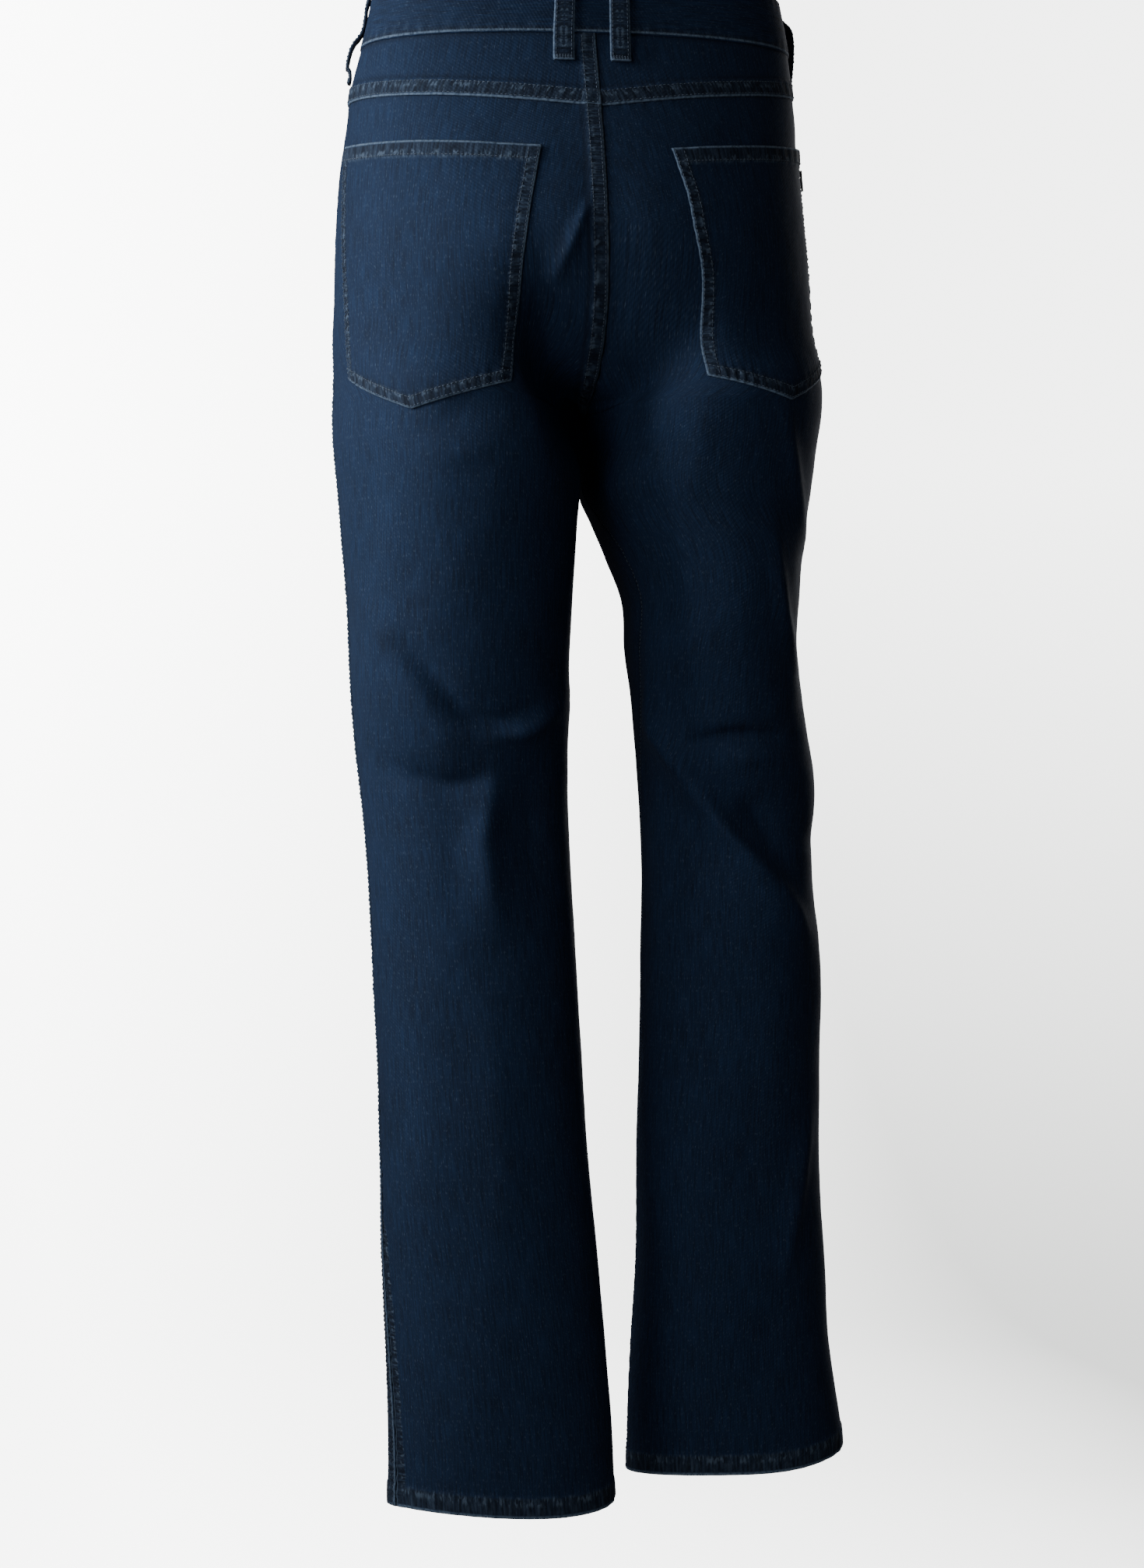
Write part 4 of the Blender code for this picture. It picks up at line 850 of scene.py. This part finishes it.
def panel(name, side, back):
    look = panelLook
    foot = hems[side][0]
    rows = sum(look["rows"])
    hemTop = foot + look["hem"] + 0.002

    def place(across, down):
        index = np.round(down * rows).astype(int)
        share = closeAtEnds(across)
        gap = form["gap"] / 2 / 0.22
        past = np.cumsum((0,) + look["rows"])
        top, fork, leg, hem, turn = (np.clip((index - p) / n, 0.0, 1.0) for p, n in zip(past, look["rows"]))
        if back:
            u = mix(gap, 1.0 - gap, share)
            h = mix(yokeEdge(side, u) - form["gap"], forkTop, top)
        else:
            # the scoop's edge takes the first of the top rows
            scoop = np.clip(top / look["scoopRows"], 0.0, 1.0)
            h = mix(form["waistSeam"] - form["gap"], look["scoopFoot"], np.sin(scoop * math.pi / 2))
            start = np.maximum(gap, np.where(scoop < 1.0, scoopEdge(h), gap))
            h = mix(h, forkTop, np.clip((top - look["scoopRows"]) / (1 - look["scoopRows"]), 0.0, 1.0))
            u = -mix(start, 1.0 - gap, share)
        h = mix(mix(mix(h, form["crotch"], fork), hemTop, leg), foot, hem)
        inside = turn > 0
        turnedUp = np.clip(turn * look["rows"][-1] - 1, 0.0, 7.0) / 7.0
        h = np.where(inside, mix(foot, foot + look["hem"] - 0.0005, turnedUp), h)
        base = basePoint(side, u, h)
        fromSide = walked(base, 1)
        wide = fromSide[:, -1:]
        fromInner = wide - fromSide
        fromHem = np.where(inside, -0.001, h - foot)
        hemBand = band(fromHem, look["hem"])
        seed = {"left": 11, "right": 31}[side] + (0 if back else 10)
        aboveFork = smooth(form["crotch"] - 0.004, form["crotch"] + 0.004, h)
        lift = look["hemRaise"] * hemBand
        # the two legs rest against each other just under the fork
        under = smooth(form["crotch"] + 0.012, form["crotch"] + 0.006, h)
        under = under * smooth(form["crotch"] - 0.026, form["crotch"] - 0.014, h)
        lift = lift + look["touch"] * under * smooth(0.80, 0.95, np.abs(u))
        # the hem's edge rolls over, and its turned-up layer lies inside
        lift = np.where(inside, -0.0023, lift - 0.0004 * hump(fromHem, 0.0009))
        lift = np.where(inside & (turn <= 1.01 / 8), -0.0009, lift)
        along = -h
        worn, shade = np.zeros_like(h), np.zeros_like(h)
        # the hem's pulls lean, as sewing a folded edge twists it
        ropes = puckers(fromSide + 0.4 * (h - foot), np.abs(fromHem - 0.006), 0.011, seed + 5, 0.0125)
        ropes = ropes * ~inside
        lift = lift + 0.00042 * ropes * band(fromHem, look["hem"] + 0.001)
        worn = worn + hemBand * (0.10 + 0.30 * np.maximum(ropes, 0.0)) + 0.25 * hump(fromHem, 0.0016)
        edges = [(fromSide, np.where(inside, 0.09, fromHem * 0.75))]
        if back:
            # low on the leg the side seam ropes, and its edge wears
            low = smooth(-0.74, -0.84, h) * ~inside
            edges.append((-h, fromSide * 1.15 + 0.09 * (1.0 - low)))
            lift = lift + 0.00035 * low * puckers(along, fromSide, 0.0100, seed + 8, 0.0085)
        bands = []
        if back and side == "left":
            bands.append((fromInner, aboveFork, seed + 1, 1.0))
        if not back:
            bands.append((fromSide, np.ones_like(h), seed + 2, 0.8))
        for distance, here, number, strength in bands:
            draw = puckers(along, np.abs(distance - 0.006), 0.0085, number) * here
            inBand = band(distance, look["bandWidth"]) * here
            lift = lift + look["bandRaise"] * inBand + 0.00042 * draw * band(distance, 0.0150, 0.0030)
            worn = worn + strength * (inBand * (0.04 + 0.30 * np.maximum(draw, 0.0)))
            edges.append((-h, np.where(inside, 0.09, distance + 0.09 * (1.0 - here))))
            # painted shadow along the raised band's edge, and painted shade in the troughs of its puckers
            shade = shade + 0.8 * here * hump(distance - look["bandWidth"] - 0.0016, 0.0020)
            shade = shade + 0.55 * inBand * np.maximum(-draw, 0.0)
        # the grooves of the middle seam or inseam, and of the side seam, which shows on the back alone
        grooves = ((fromInner, 1.0, seed + 3), (fromSide, 1.0 if back else 0.0, seed + 4))
        for distance, here, number in grooves:
            groove = hump(distance, 0.0022) * here
            clear = smooth(form["crotch"] - 0.02, form["crotch"] - 0.05, h) if distance is fromInner else 1.0
            lift = lift - 0.0004 * groove * clear
            lift = lift + 0.00028 * puckers(along, distance, 0.0090, number, 0.011) * here
            # painted shade in the seam's groove
            shade = shade + 0.7 * groove
        if back:
            below = yokeEdge(side, u) - h
            lift = lift + 0.00035 * puckers(fromSide, below, 0.0075, seed + 6, 0.0095)
            # painted shadow just under the yoke's lapped edge
            shade = shade + 0.85 * hump(below, 0.0018)
        made = {"points": surface(side, u, h, lift), "out": outward(side, u, h)}
        made["flat"] = np.stack([fromSide - wide / 2, -h], axis=-1)
        made.update(worn=worn, shade=shade, seam=seamMap(*edges), sewn=1.0)
        made.update(h=h, fromSide=fromSide, fromInner=fromInner, fromHem=fromHem, inside=inside)
        nearFork = smooth(0.035, 0.015, np.abs(h - form["crotch"]))
        made.update(thin=nearFork * smooth(0.45, 0.65, np.abs(u)))
        return made

    made = clothGrid(name, look["columns"], rows, place, form["cloth"])
    outer = ~made["inside"][:, 0]
    points, h = made["points"][outer], made["h"][outer]
    fromHem, fromInner, fromSide = (made[key][outer] for key in ("fromHem", "fromInner", "fromSide"))
    lines = [traceColumns(points[-20:], fromHem[-20:], look["hemStitch"])]
    if back and side == "left":
        upper = h[:, -1] > form["crotch"] + 0.022
        lines += [traceRows(points[upper], fromInner[upper], away) for away in look["stitches"]]
    if back:
        lower = h[:, -1] < form["crotch"] - 0.010
        lines += [traceRows(points[lower][:-10], fromInner[lower][:-10], look["sideStitches"][0])]
    else:
        lines += [traceRows(points[:-10], fromSide[:-10], away) for away in look["sideStitches"]]
    stitches = sew(f"stitches_{name}", made, lines)
    print(name, "is sewn")


for side in ("left", "right"):
    panel(f"back_{side}", side, True)
for side in ("left", "right"):
    panel(f"front_{side}", side, False)

# Yokes, whose lower edge is folded under and sewn down twice on the panel below

yokeLook = {"columns": 84, "rows": 36, "fold": 0.0125, "raise": 0.0009, "stitches": (0.0022, 0.0104)}


def yoke(side):
    look = yokeLook
    name = f"yoke_{side}"

    def place(across, down):
        gap = form["gap"] / 2 / form["quarter"]
        u = mix(gap, 1.0 - gap, closeAtEnds(across))
        foot = yokeEdge(side, u) - 0.0012
        h = mix(form["waistSeam"] + 0.0006, foot, down**0.85)
        base = basePoint(side, u, h)
        fromSide = walked(base, 1)
        wide = fromSide[:, -1:]
        fromInner, above = wide - fromSide, h - foot
        seed = {"left": 61, "right": 81}[side]
        draw = puckers(fromSide, np.abs(above - 0.006), 0.0085, seed)
        inBand = band(above, look["fold"])
        lift = look["raise"] * inBand + 0.00045 * draw * band(above, 0.0150, 0.003)
        lift = lift - 0.0006 * hump(above, 0.0007)
        worn = inBand * (0.04 + 0.30 * np.maximum(draw, 0.0))
        edges = [(fromSide, above)]
        # painted shade in the pucker troughs, and a painted shadow along the band's upper edge
        shade = 0.5 * inBand * np.maximum(-draw, 0.0) + 0.5 * hump(above - look["fold"] - 0.0012, 0.0015)
        if side == "left":
            seam = puckers(-h, np.abs(fromInner - 0.006), 0.0085, seed + 1)
            lift = lift + 0.0008 * band(fromInner, 0.0115) * (1 - 0.6 * inBand) + 0.00035 * seam
            worn = worn + 0.10 * band(fromInner, 0.0115)
            edges.append((-h, fromInner))
        else:
            # painted shadow where the left yoke laps over this one
            shade = shade + 0.8 * hump(fromInner, 0.0025)
        # painted shadow just under the waistband
        shade = shade + 0.8 * hump(form["waistSeam"] - h, 0.0020)
        made = {"points": surface(side, u, h, lift), "out": outward(side, u, h)}
        made["flat"] = np.stack([fromSide - wide / 2, -h], axis=-1)
        made.update(worn=worn, shade=shade, above=above, fromInner=fromInner)
        made.update(seam=seamMap(*edges), sewn=1.0)
        return made

    made = clothGrid(name, look["columns"], look["rows"], place, form["cloth"])
    lines = [traceColumns(made["points"], made["above"], away) for away in look["stitches"]]
    if side == "left":
        lines += [traceRows(made["points"], made["fromInner"], away) for away in panelLook["stitches"]]
    stitches = sew(f"stitches_{name}", made, lines)


yoke("left")
yoke("right")
print("yokes are sewn")

# Back pockets

pocketLook = {
    "columns": 100,
    "rows": 110,
    # distance from the side seam to the top's and the foot's outer corners and to the tip
    "along": {"left": (0.0360, 0.0630, 0.1350), "right": (0.0400, 0.0700, 0.1420)},
    # share of the way down, the inner edge's distance on the left and on the right
    "inner": (
        (0.00, 0.2090, 0.2030),
        (0.19, 0.2125, 0.2045),
        (0.38, 0.2130, 0.2060),
        (0.61, 0.2070, 0.1990),
        (0.80, 0.2035, 0.1955),
        (1.00, 0.2050, 0.2005),
    ),
    # heights of the top's outer and inner corners, the foot's outer corner, its tip and its inner corner
    "left": (-0.0890, -0.1000, -0.2500, -0.2750, -0.2560),
    "right": (-0.0840, -0.1000, -0.2390, -0.2650, -0.2510),
    "hem": 0.0110,
    "stitches": (0.0018, 0.0080),
}


def heightRow(side, u, z):
    low, high = z - 0.06, z + 0.02
    for _ in range(30):
        middle = (low + high) / 2
        short = rowHeight(side, u, middle) < z
        low, high = np.where(short, middle, low), np.where(short, high, middle)
    return (low + high) / 2


def alongBack(side, z, distance):
    # the place at a distance along the cloth from the side seam, at height z
    levels, shares = np.linspace(-0.060, -0.300, 49), np.linspace(0.0, 1.0, 81)
    u, height = np.meshgrid(shares, levels)
    lengths = walked(basePoint(side, u, heightRow(side, u, height)), 1)
    level = np.clip((levels[0] - z) / (levels[0] - levels[-1]) * (len(levels) - 1), 0, len(levels) - 1.001)
    k = level.astype(int)
    row = mix(lengths[k], lengths[k + 1], (level - k)[..., None])
    j = np.clip((row < distance[..., None]).sum(axis=-1), 1, len(shares) - 1)
    before = np.take_along_axis(row, (j - 1)[..., None], -1)[..., 0]
    after = np.take_along_axis(row, j[..., None], -1)[..., 0]
    found = (j - 1 + (distance - before) / (after - before)) / (len(shares) - 1)
    return found, heightRow(side, found, z)


def innerEdge(side, down):
    return readTable(pocketLook["inner"], np.asarray(down, float))[1 if side == "left" else 2]


def pocketSpot(side, across, down):
    topOuter, footOuter, tip = pocketLook["along"][side]
    tipShare = (tip - footOuter) / (innerEdge(side, 1.0) - footOuter)
    zTopOuter, zTopInner, zFootOuter, zTip, zFootInner = pocketLook[side]
    outerFoot = mix(zFootOuter, zTip, across / tipShare)
    innerFoot = mix(zTip, zFootInner, (across - tipShare) / (1.0 - tipShare))
    foot = np.where(across < tipShare, outerFoot, innerFoot)
    z = mix(mix(zTopOuter, zTopInner, across), foot, down)
    outer = mix(topOuter, footOuter, down)
    width = innerEdge(side, down) - outer
    u, h = alongBack(side, z, outer + width * across)
    return u, h, z, width, mix(zTopOuter, zTopInner, across) - foot


def backPocket(side):
    look = pocketLook
    name = f"back_pocket_{side}"

    def place(across, down):
        u, h, z, width, depth = pocketSpot(side, closeAtEnds(across), down)
        share = closeAtEnds(across)
        fromOuter, fromInner = share * width, (1 - share) * width
        fromFoot, fromTop = (1 - down) * depth, down * depth
        edge = np.minimum(np.minimum(fromOuter, fromInner), fromFoot)
        seed = {"left": 101, "right": 121}[side]
        sides = puckers(z, np.abs(fromInner - 0.005), 0.0075, seed, 0.0080)
        sides = sides + puckers(z, np.abs(fromOuter - 0.005), 0.0075, seed + 1, 0.0080)
        footDraw = puckers(share * width, np.abs(fromFoot - 0.005), 0.0075, seed + 2, 0.0080)
        draw = (sides + footDraw) * smooth(0.010, 0.018, fromTop)
        top = puckers(share * width, np.abs(fromTop - 0.006), 0.0080, seed + 3, 0.0120)
        inEdge, inHem = band(edge, 0.0085), band(fromTop, look["hem"])
        lift = 0.0015 + 0.0007 * smooth(0.0, 0.020, edge) + 0.0003 * inEdge + 0.0005 * draw
        lift = lift + 0.0007 * inHem + 0.0003 * top * band(fromTop, 0.0130, 0.002)
        lift = lift - 0.0005 * hump(np.minimum(edge, fromTop), 0.0007)
        worn = inEdge * (0.03 + 0.28 * np.maximum(draw, 0.0)) + inHem * (0.04 + 0.20 * np.maximum(top, 0.0))
        worn = worn + 0.30 * hump(fromTop - look["hem"], 0.0010)
        edges = [(z, np.minimum(fromOuter, fromInner) * 1.15), (share * width + 0.2, fromFoot * 1.15)]
        edges.append((share * width + 0.5, fromTop * 0.95))
        # painted shade in the pucker troughs, and a painted shadow along the inner side of the edge band
        shade = 0.6 * inEdge * np.maximum(-draw, 0.0) + 0.4 * hump(edge - 0.0098, 0.0012)
        made = {"points": surface(side, u, h, lift), "out": outward(side, u, h)}
        made["flat"] = np.stack([(share - 0.5) * width + 3.0, -z], axis=-1)
        made.update(worn=worn, shade=shade, seam=seamMap(*edges), sewn=1.0)
        made.update(fromOuter=fromOuter, fromInner=fromInner, fromFoot=fromFoot, fromTop=fromTop)
        return made

    made = clothGrid(name, look["columns"], look["rows"], place, form["cloth"])
    points, lines = made["points"], [traceColumns(made["points"], made["fromTop"], look["hem"] - 0.0012)]
    for away in look["stitches"]:
        lines.append(traceRows(points, made["fromOuter"], away)[2:])
        lines.append(traceRows(points, made["fromInner"], away)[2:])
        lines.append(traceColumns(points, made["fromFoot"], away)[3:-3])
    stitches = sew(f"stitches_{name}", made, lines, pitch=0.0029, length=0.0022)


backPocket("left")
backPocket("right")


def pocketTab():
    def place(across, down):
        topOuter, topInner = pocketLook["along"]["right"][0], innerEdge("right", 0.0)
        depth = pocketLook["right"][0] - pocketLook["right"][2]
        share = across * 0.0060 / (topInner - topOuter)
        u, h, z, _, _ = pocketSpot("right", share, (0.0140 + 0.0150 * down) / depth)
        lift = 0.0036 + 0.0002 * np.sin(math.pi * across) - 0.0004 * hump(across, 0.12)
        made = {"points": surface("right", u, h, lift), "out": outward("right", u, h)}
        made["flat"] = np.stack([across * 0.006, -z], axis=-1)
        return made

    made = clothGrid("pocket_tab", 10, 18, place, 0.0008, skins=(tabCloth, tabCloth))


pocketTab()
print("back pockets are sewn")

# Waistband, a folded band all round the waist

bandLook = {
    "columns": 380,
    "rows": 17,
    "out": 0.0009,
    "in": 0.0021,
    "bulge": 0.0004,
    # where the ends overlap at the front, and by how much, in degrees
    "centre": -4.0,
    "lap": 16.0,
}


def waistband():
    look = bandLook
    start, end = look["centre"] - look["lap"] / 2, look["centre"] + 360.0 + look["lap"] / 2
    top, foot = form["waistTop"], form["waistSeam"]
    half = (look["out"] + look["in"]) / 2
    shares = np.linspace(0.0, 1.0, look["rows"])
    bulges = look["out"] + look["bulge"] * np.sin(math.pi * shares)
    profile = list(zip(bulges, mix(foot + 0.0004, top - half, shares)))
    for k in range(1, 6):
        turned = math.pi * k / 6
        profile.append((look["out"] - half + half * math.cos(turned), top - half + half * math.sin(turned)))
    profile += [(-look["in"], mix(top - half, foot, k / 8)) for k in range(9)]
    profile += [(mix(-look["in"], look["out"] - 0.0002, k / 3), foot) for k in (1, 2, 3)]
    profile.append(profile[0])
    profile = np.array(profile)

    def place(across, down):
        index = np.round(down * (len(profile) - 1)).astype(int)
        lift, z = profile[index, 0], profile[index, 1]
        angle = mix(end, start, across)
        over = smooth(start + 1.55 * look["lap"], start + 1.05 * look["lap"], angle)
        along = np.broadcast_to(walked(ringPoint(angle[:1], 0.0, 0.0), 1), angle.shape)
        outside = (index < look["rows"]) * 1.0
        lower = puckers(along, np.abs(z - foot - 0.003), 0.0060, 141, 0.0090)
        upper = puckers(along, np.abs(top - z - 0.003), 0.0050, 151, 0.0100)
        lift = lift + outside * (0.00030 * lower + 0.00022 * upper) * smooth(0.0, 0.0015, z - foot)
        lift = lift + (look["out"] + look["in"] + form["gap"]) * over
        points = ringPoint(angle, z, lift)
        out = ringPoint(angle, z, lift + 0.01) - points
        worn = outside * 0.28 * (np.maximum(lower, 0.0) + np.maximum(upper, 0.0))
        edges = [(along, z - foot - 0.0007), (along + 2.0, np.maximum(top - z, 0.0) + 0.05 * (1.0 - outside))]
        made = {"points": points, "out": out, "flat": np.stack([z + 5.0, along], axis=-1)}
        # painted shade in the troughs of the lower seam's puckers
        made.update(worn=worn, shade=0.4 * outside * np.maximum(-lower, 0.0), z=z)
        # only the edge's own line shows, with no lap beside it
        near = np.minimum(np.abs(z - foot), np.abs(top - z))
        made.update(seam=seamMap(*edges), sewn=0.95 * (1.0 - smooth(0.0025, 0.0045, near)))
        return made

    made = clothGrid("waistband", look["columns"], len(profile) - 1, place, closed=True)
    points, heights = made["points"][: look["rows"]], made["z"][: look["rows"]]
    lines = [traceColumns(points, heights, height)[2:-2] for height in (foot + 0.0022, top - 0.0024)]
    stitches = sew("stitches_waistband", made, lines, pitch=0.0030, length=0.0023)


waistband()
print("waistband is sewn")

# Belt loops

loopLook = {"width": 0.0138, "cloth": 0.0016, "top": 0.0180, "ends": 0.0075, "footOut": 0.0010}
# angle, foot, room for a belt above and below, how far it stands off where it bends in to its foot
loopPlaces = {
    "loop_back_left": (171.4, -0.0400, 0.0055, 0.0053, 0.0023),
    "loop_back_right": (-174.2, -0.0400, 0.0055, 0.0053, 0.0023),
    "loop_side_left": (84.0, -0.0420, 0.0008, 0.0046, 0.0040),
    "loop_side_right": (-84.0, -0.0400, 0.0066, 0.0048, 0.0020),
    "loop_front_left": (44.0, -0.0400, 0.0055, 0.0053, 0.0023),
    "loop_front_right": (-44.0, -0.0400, 0.0055, 0.0053, 0.0023),
}


def beltLoop(name, angle, foot, room, low, bend):
    look = loopLook
    top, ends, bandOut = look["top"], look["ends"], bandLook["out"] + form["gap"]
    # height, how far the loop's back stands off the smooth cloth
    stands = (
        (foot, look["footOut"]),
        (foot + ends * 0.60, look["footOut"]),
        (foot + ends, look["footOut"] + 0.0016),
        (foot + ends * 1.25, bandOut + bend),
        (mix(top, foot, 0.60), bandOut + low),
        (mix(top, foot, 0.42), bandOut + room),
        (mix(top, foot, 0.25), bandOut + room * 0.96),
        (top - ends, bandOut + 0.0012),
        (top - ends * 0.55, bandOut),
        (top, bandOut),
    )
    perDegree = float(np.linalg.norm(ringPoint(angle + 1.0, 0.0, 0.0) - ringPoint(angle, 0.0, 0.0)))

    def place(across, down):
        z = mix(top, foot, down)
        stand = readTable(stands, z)[1]
        j = across - 0.5
        folded = 0.0006 * (band(top - z, 0.0060) + band(z - foot, 0.0070))
        crown = 0.0004 * (1.0 - (2 * j) ** 4) - 0.0003 * hump(0.5 - np.abs(j), 0.035)
        draw = puckers(-z, np.abs(np.abs(j) - 0.36) * look["width"], 0.0030, 171 + int(angle) % 7, 0.0060)
        lift = stand + look["cloth"] + crown + folded + 0.00022 * draw
        points = ringPoint(angle - j * look["width"] / perDegree, z, lift)
        out = ringPoint(angle, z, 0.01) - ringPoint(angle, z, 0.0)
        edge = (0.5 - np.abs(j)) * look["width"]
        edge = np.minimum(edge, np.minimum(top - z, z - foot))
        worn = 0.20 * hump(edge, 0.0012) + 0.30 * np.maximum(draw, 0.0)
        made = {"points": points, "out": out, "flat": np.stack([j * look["width"] + 7.0, -z], axis=-1)}
        # painted shade: the side loops are darkened all over as if in shadow, and every loop's pucker troughs
        # a little
        paintedLoopShade = 0.8 if "side" in name else 0.0
        made.update(worn=worn, shade=np.maximum(paintedLoopShade, 0.3 * np.maximum(-draw, 0.0)))
        made.update(seam=seamMap((-z, edge * 1.5)), sewn=0.9)
        return made

    made = clothGrid(name, 14, 58, place, look["cloth"], skins=(denim, denim))
    points = made["points"]
    stitches = sew(f"stitches_{name}", made, [points[3:-3, 2], points[3:-3, -3]], pitch=0.0028, length=0.0021)
    tacks = [points[row, 1:-1] for row in (1, 2, 3, 54, 55, 56)]
    bars = sew(f"tacks_{name}", made, tacks, pitch=0.0019, length=0.0017, width=0.0007)


for name, place in loopPlaces.items():
    beltLoop(name, *place)
print("belt loops are sewn")

# Front pockets' facings, fly, zip and button


def pocketFacing(side):
    name = f"pocket_facing_{side}"

    def place(across, down):
        z = mix(form["waistSeam"] - form["gap"], panelLook["scoopFoot"] - 0.0120, down)
        reach = np.maximum(scoopEdge(z) * (z > panelLook["scoopFoot"]) + 0.10, 0.12)
        u = -mix(0.001, reach, across)
        along = walked(basePoint(side, u, z), 1)
        draw = puckers(-z, np.abs(along - 0.006), 0.0085, 191 + len(side))
        lift = -0.0024 + 0.0004 * (1.0 - smooth(0.006, 0.014, along)) * smooth(-0.092, -0.080, z)
        made = {"points": surface(side, u, z, lift + 0.0002 * draw), "out": outward(side, u, z)}
        made["flat"] = np.stack([along + 9.0, -z], axis=-1)
        made["worn"] = 0.3 * np.maximum(draw, 0.0)
        return made

    made = clothGrid(name, 44, 40, place, 0.0010)


pocketFacing("left")
pocketFacing("right")

flyLook = {"foot": -0.1500, "width": 0.0380, "lap": 0.0040, "cloth": 0.0011}


def flyFlap():
    look = flyLook

    def place(across, down):
        z = mix(form["waistSeam"] - form["gap"], look["foot"], down)
        curve = np.clip((down - 0.62) / 0.38, 0.0, 1.0)
        left = np.maximum(look["width"] * np.sqrt(np.maximum(1.0 - curve**2, 0.0)), 0.004)
        x = mix(-look["lap"], left, across)
        edge = np.minimum(x + look["lap"], left - x)
        draw = puckers(-z, x + look["lap"], 0.006, 211)
        lift = 0.0014 + 0.0003 * smooth(0.0, 0.003, edge) + 0.0002 * draw
        made = {"points": frontPoint(x, z, lift), "out": np.broadcast_to((0.0, -1.0, 0.0), x.shape + (3,))}
        worn = 0.8 * hump(x + look["lap"], 0.0013) + 0.3 * hump(left - x, 0.0012)
        made.update(flat=np.stack([x + 11.0, -z], axis=-1), worn=worn, fromRight=left - x)
        return made

    made = clothGrid("fly_flap", 30, 70, place, look["cloth"])
    lines = [traceRows(made["points"][:66], made["fromRight"][:66], away) for away in (0.0020, 0.0082)]
    lines.append(made["points"][1:60, 2])
    stitches = sew("stitches_fly_flap", made, lines)


flyFlap()

zipLook = {
    "half": 0.0120,
    "top": -0.0240,
    "foot": -0.1450,
    "behind": -0.0024,
    "tape": 0.0010,
    "pitch": 0.0017,
    "tooth": (0.0034, 0.0010, 0.0008),
}


def zipTape():
    look = zipLook

    def place(across, down):
        x, z = mix(-look["half"], look["half"], across), mix(look["top"], look["foot"], down)
        made = {"points": frontPoint(x, z, look["behind"] - look["tape"]), "flat": np.stack([x, z], axis=-1)}
        made["out"] = np.broadcast_to((0.0, 1.0, 0.0), x.shape + (3,))
        return made

    made = clothGrid("zip_tape", 12, 60, place, look["tape"], skins=(zipCloth, zipCloth))
    # each tooth is a small bevelled block, and the two sides take turns down the chain
    shaper = bmesh.new()
    wide, deep, tall = look["tooth"]
    heights = np.arange(look["top"] - 0.002, look["foot"] + 0.002, -look["pitch"] / 2)
    for k, z in enumerate(heights):
        side = 1 if k % 2 else -1
        middle = frontPoint(side * 0.0008, z, look["behind"] - look["tape"] - 0.0005)
        block = bmesh.ops.create_cube(shaper, size=1.0)["verts"]
        for vert in block:
            far = 1.0 if vert.co.y < 0 else 0.8
            vert.co = Vector(middle) + vert.co * Vector((wide * far, deep, tall))
    mesh = bpy.data.meshes.new("zip_teeth")
    shaper.to_mesh(mesh)
    shaper.free()
    addPiece("zip_teeth", mesh, brass)


zipTape()
for name in ("zip_slider", "waist_button"):
    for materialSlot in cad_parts[name].material_slots:
        materialSlot.material = brass
print("fly, zip and button are made")

# Studio: a pale floor that curves up into a pale wall all round

stage = {"floor": -1.45, "flat": 4.2, "turn": 2.2, "wall": 5.0, "steps": 12, "around": 96}


def studio():
    shaper = bmesh.new()
    outline = [Vector((0.0, 0.0, stage["floor"])), Vector((stage["flat"], 0.0, stage["floor"]))]
    for k in range(1, stage["steps"] + 1):
        turned = math.pi / 2 * k / stage["steps"]
        across = stage["flat"] + stage["turn"] * math.sin(turned)
        outline.append(Vector((across, 0.0, stage["floor"] + stage["turn"] * (1.0 - math.cos(turned)))))
    outline.append(Vector((stage["flat"] + stage["turn"], 0.0, stage["floor"] + stage["wall"])))
    verts = [shaper.verts.new(spot) for spot in outline]
    edges = [shaper.edges.new(pair) for pair in zip(verts, verts[1:])]
    turning = {"axis": (0, 0, 1), "cent": (0, 0, 0), "angle": 2 * math.pi, "steps": stage["around"]}
    bmesh.ops.spin(shaper, geom=verts + edges, use_merge=True, **turning)
    bmesh.ops.recalc_face_normals(shaper, faces=shaper.faces)
    mesh = bpy.data.meshes.new("studio")
    shaper.to_mesh(mesh)
    shaper.free()
    mesh.shade_smooth()
    room = bpy.data.objects.new("studio", mesh)
    shader = Shader("studio paper", roughness=0.95)
    shader.principled.inputs["Base Color"].default_value = (0.40, 0.40, 0.40, 1.0)
    # painted light: the wall glows, brighter towards +X, the left of the view, as if lit from there, and
    # darker towards the floor
    place = shader.node("ShaderNodeSeparateXYZ", {"Vector": shader.node("ShaderNodeTexCoord").part("Object")})
    across, up = place.part("X"), place.part("Z")
    bright = across.range(-1.5, 0.1) * 0.62 + up.range(stage["floor"], stage["floor"] + 1.6) * 0.38
    shader.set("Emission Color", shader.blend(bright, (0.16, 0.163, 0.16, 1.0), (1.0, 1.01, 1.0, 1.0)))
    shader.principled.inputs["Emission Strength"].default_value = 10.0
    mesh.materials.append(shader.material)
    bpy.context.scene.collection.objects.link(room)
    # it is a backdrop only: the cloth takes its light from the lamps and the world
    room.visible_diffuse = False
    room.visible_glossy = False
    room.visible_shadow = False


studio()
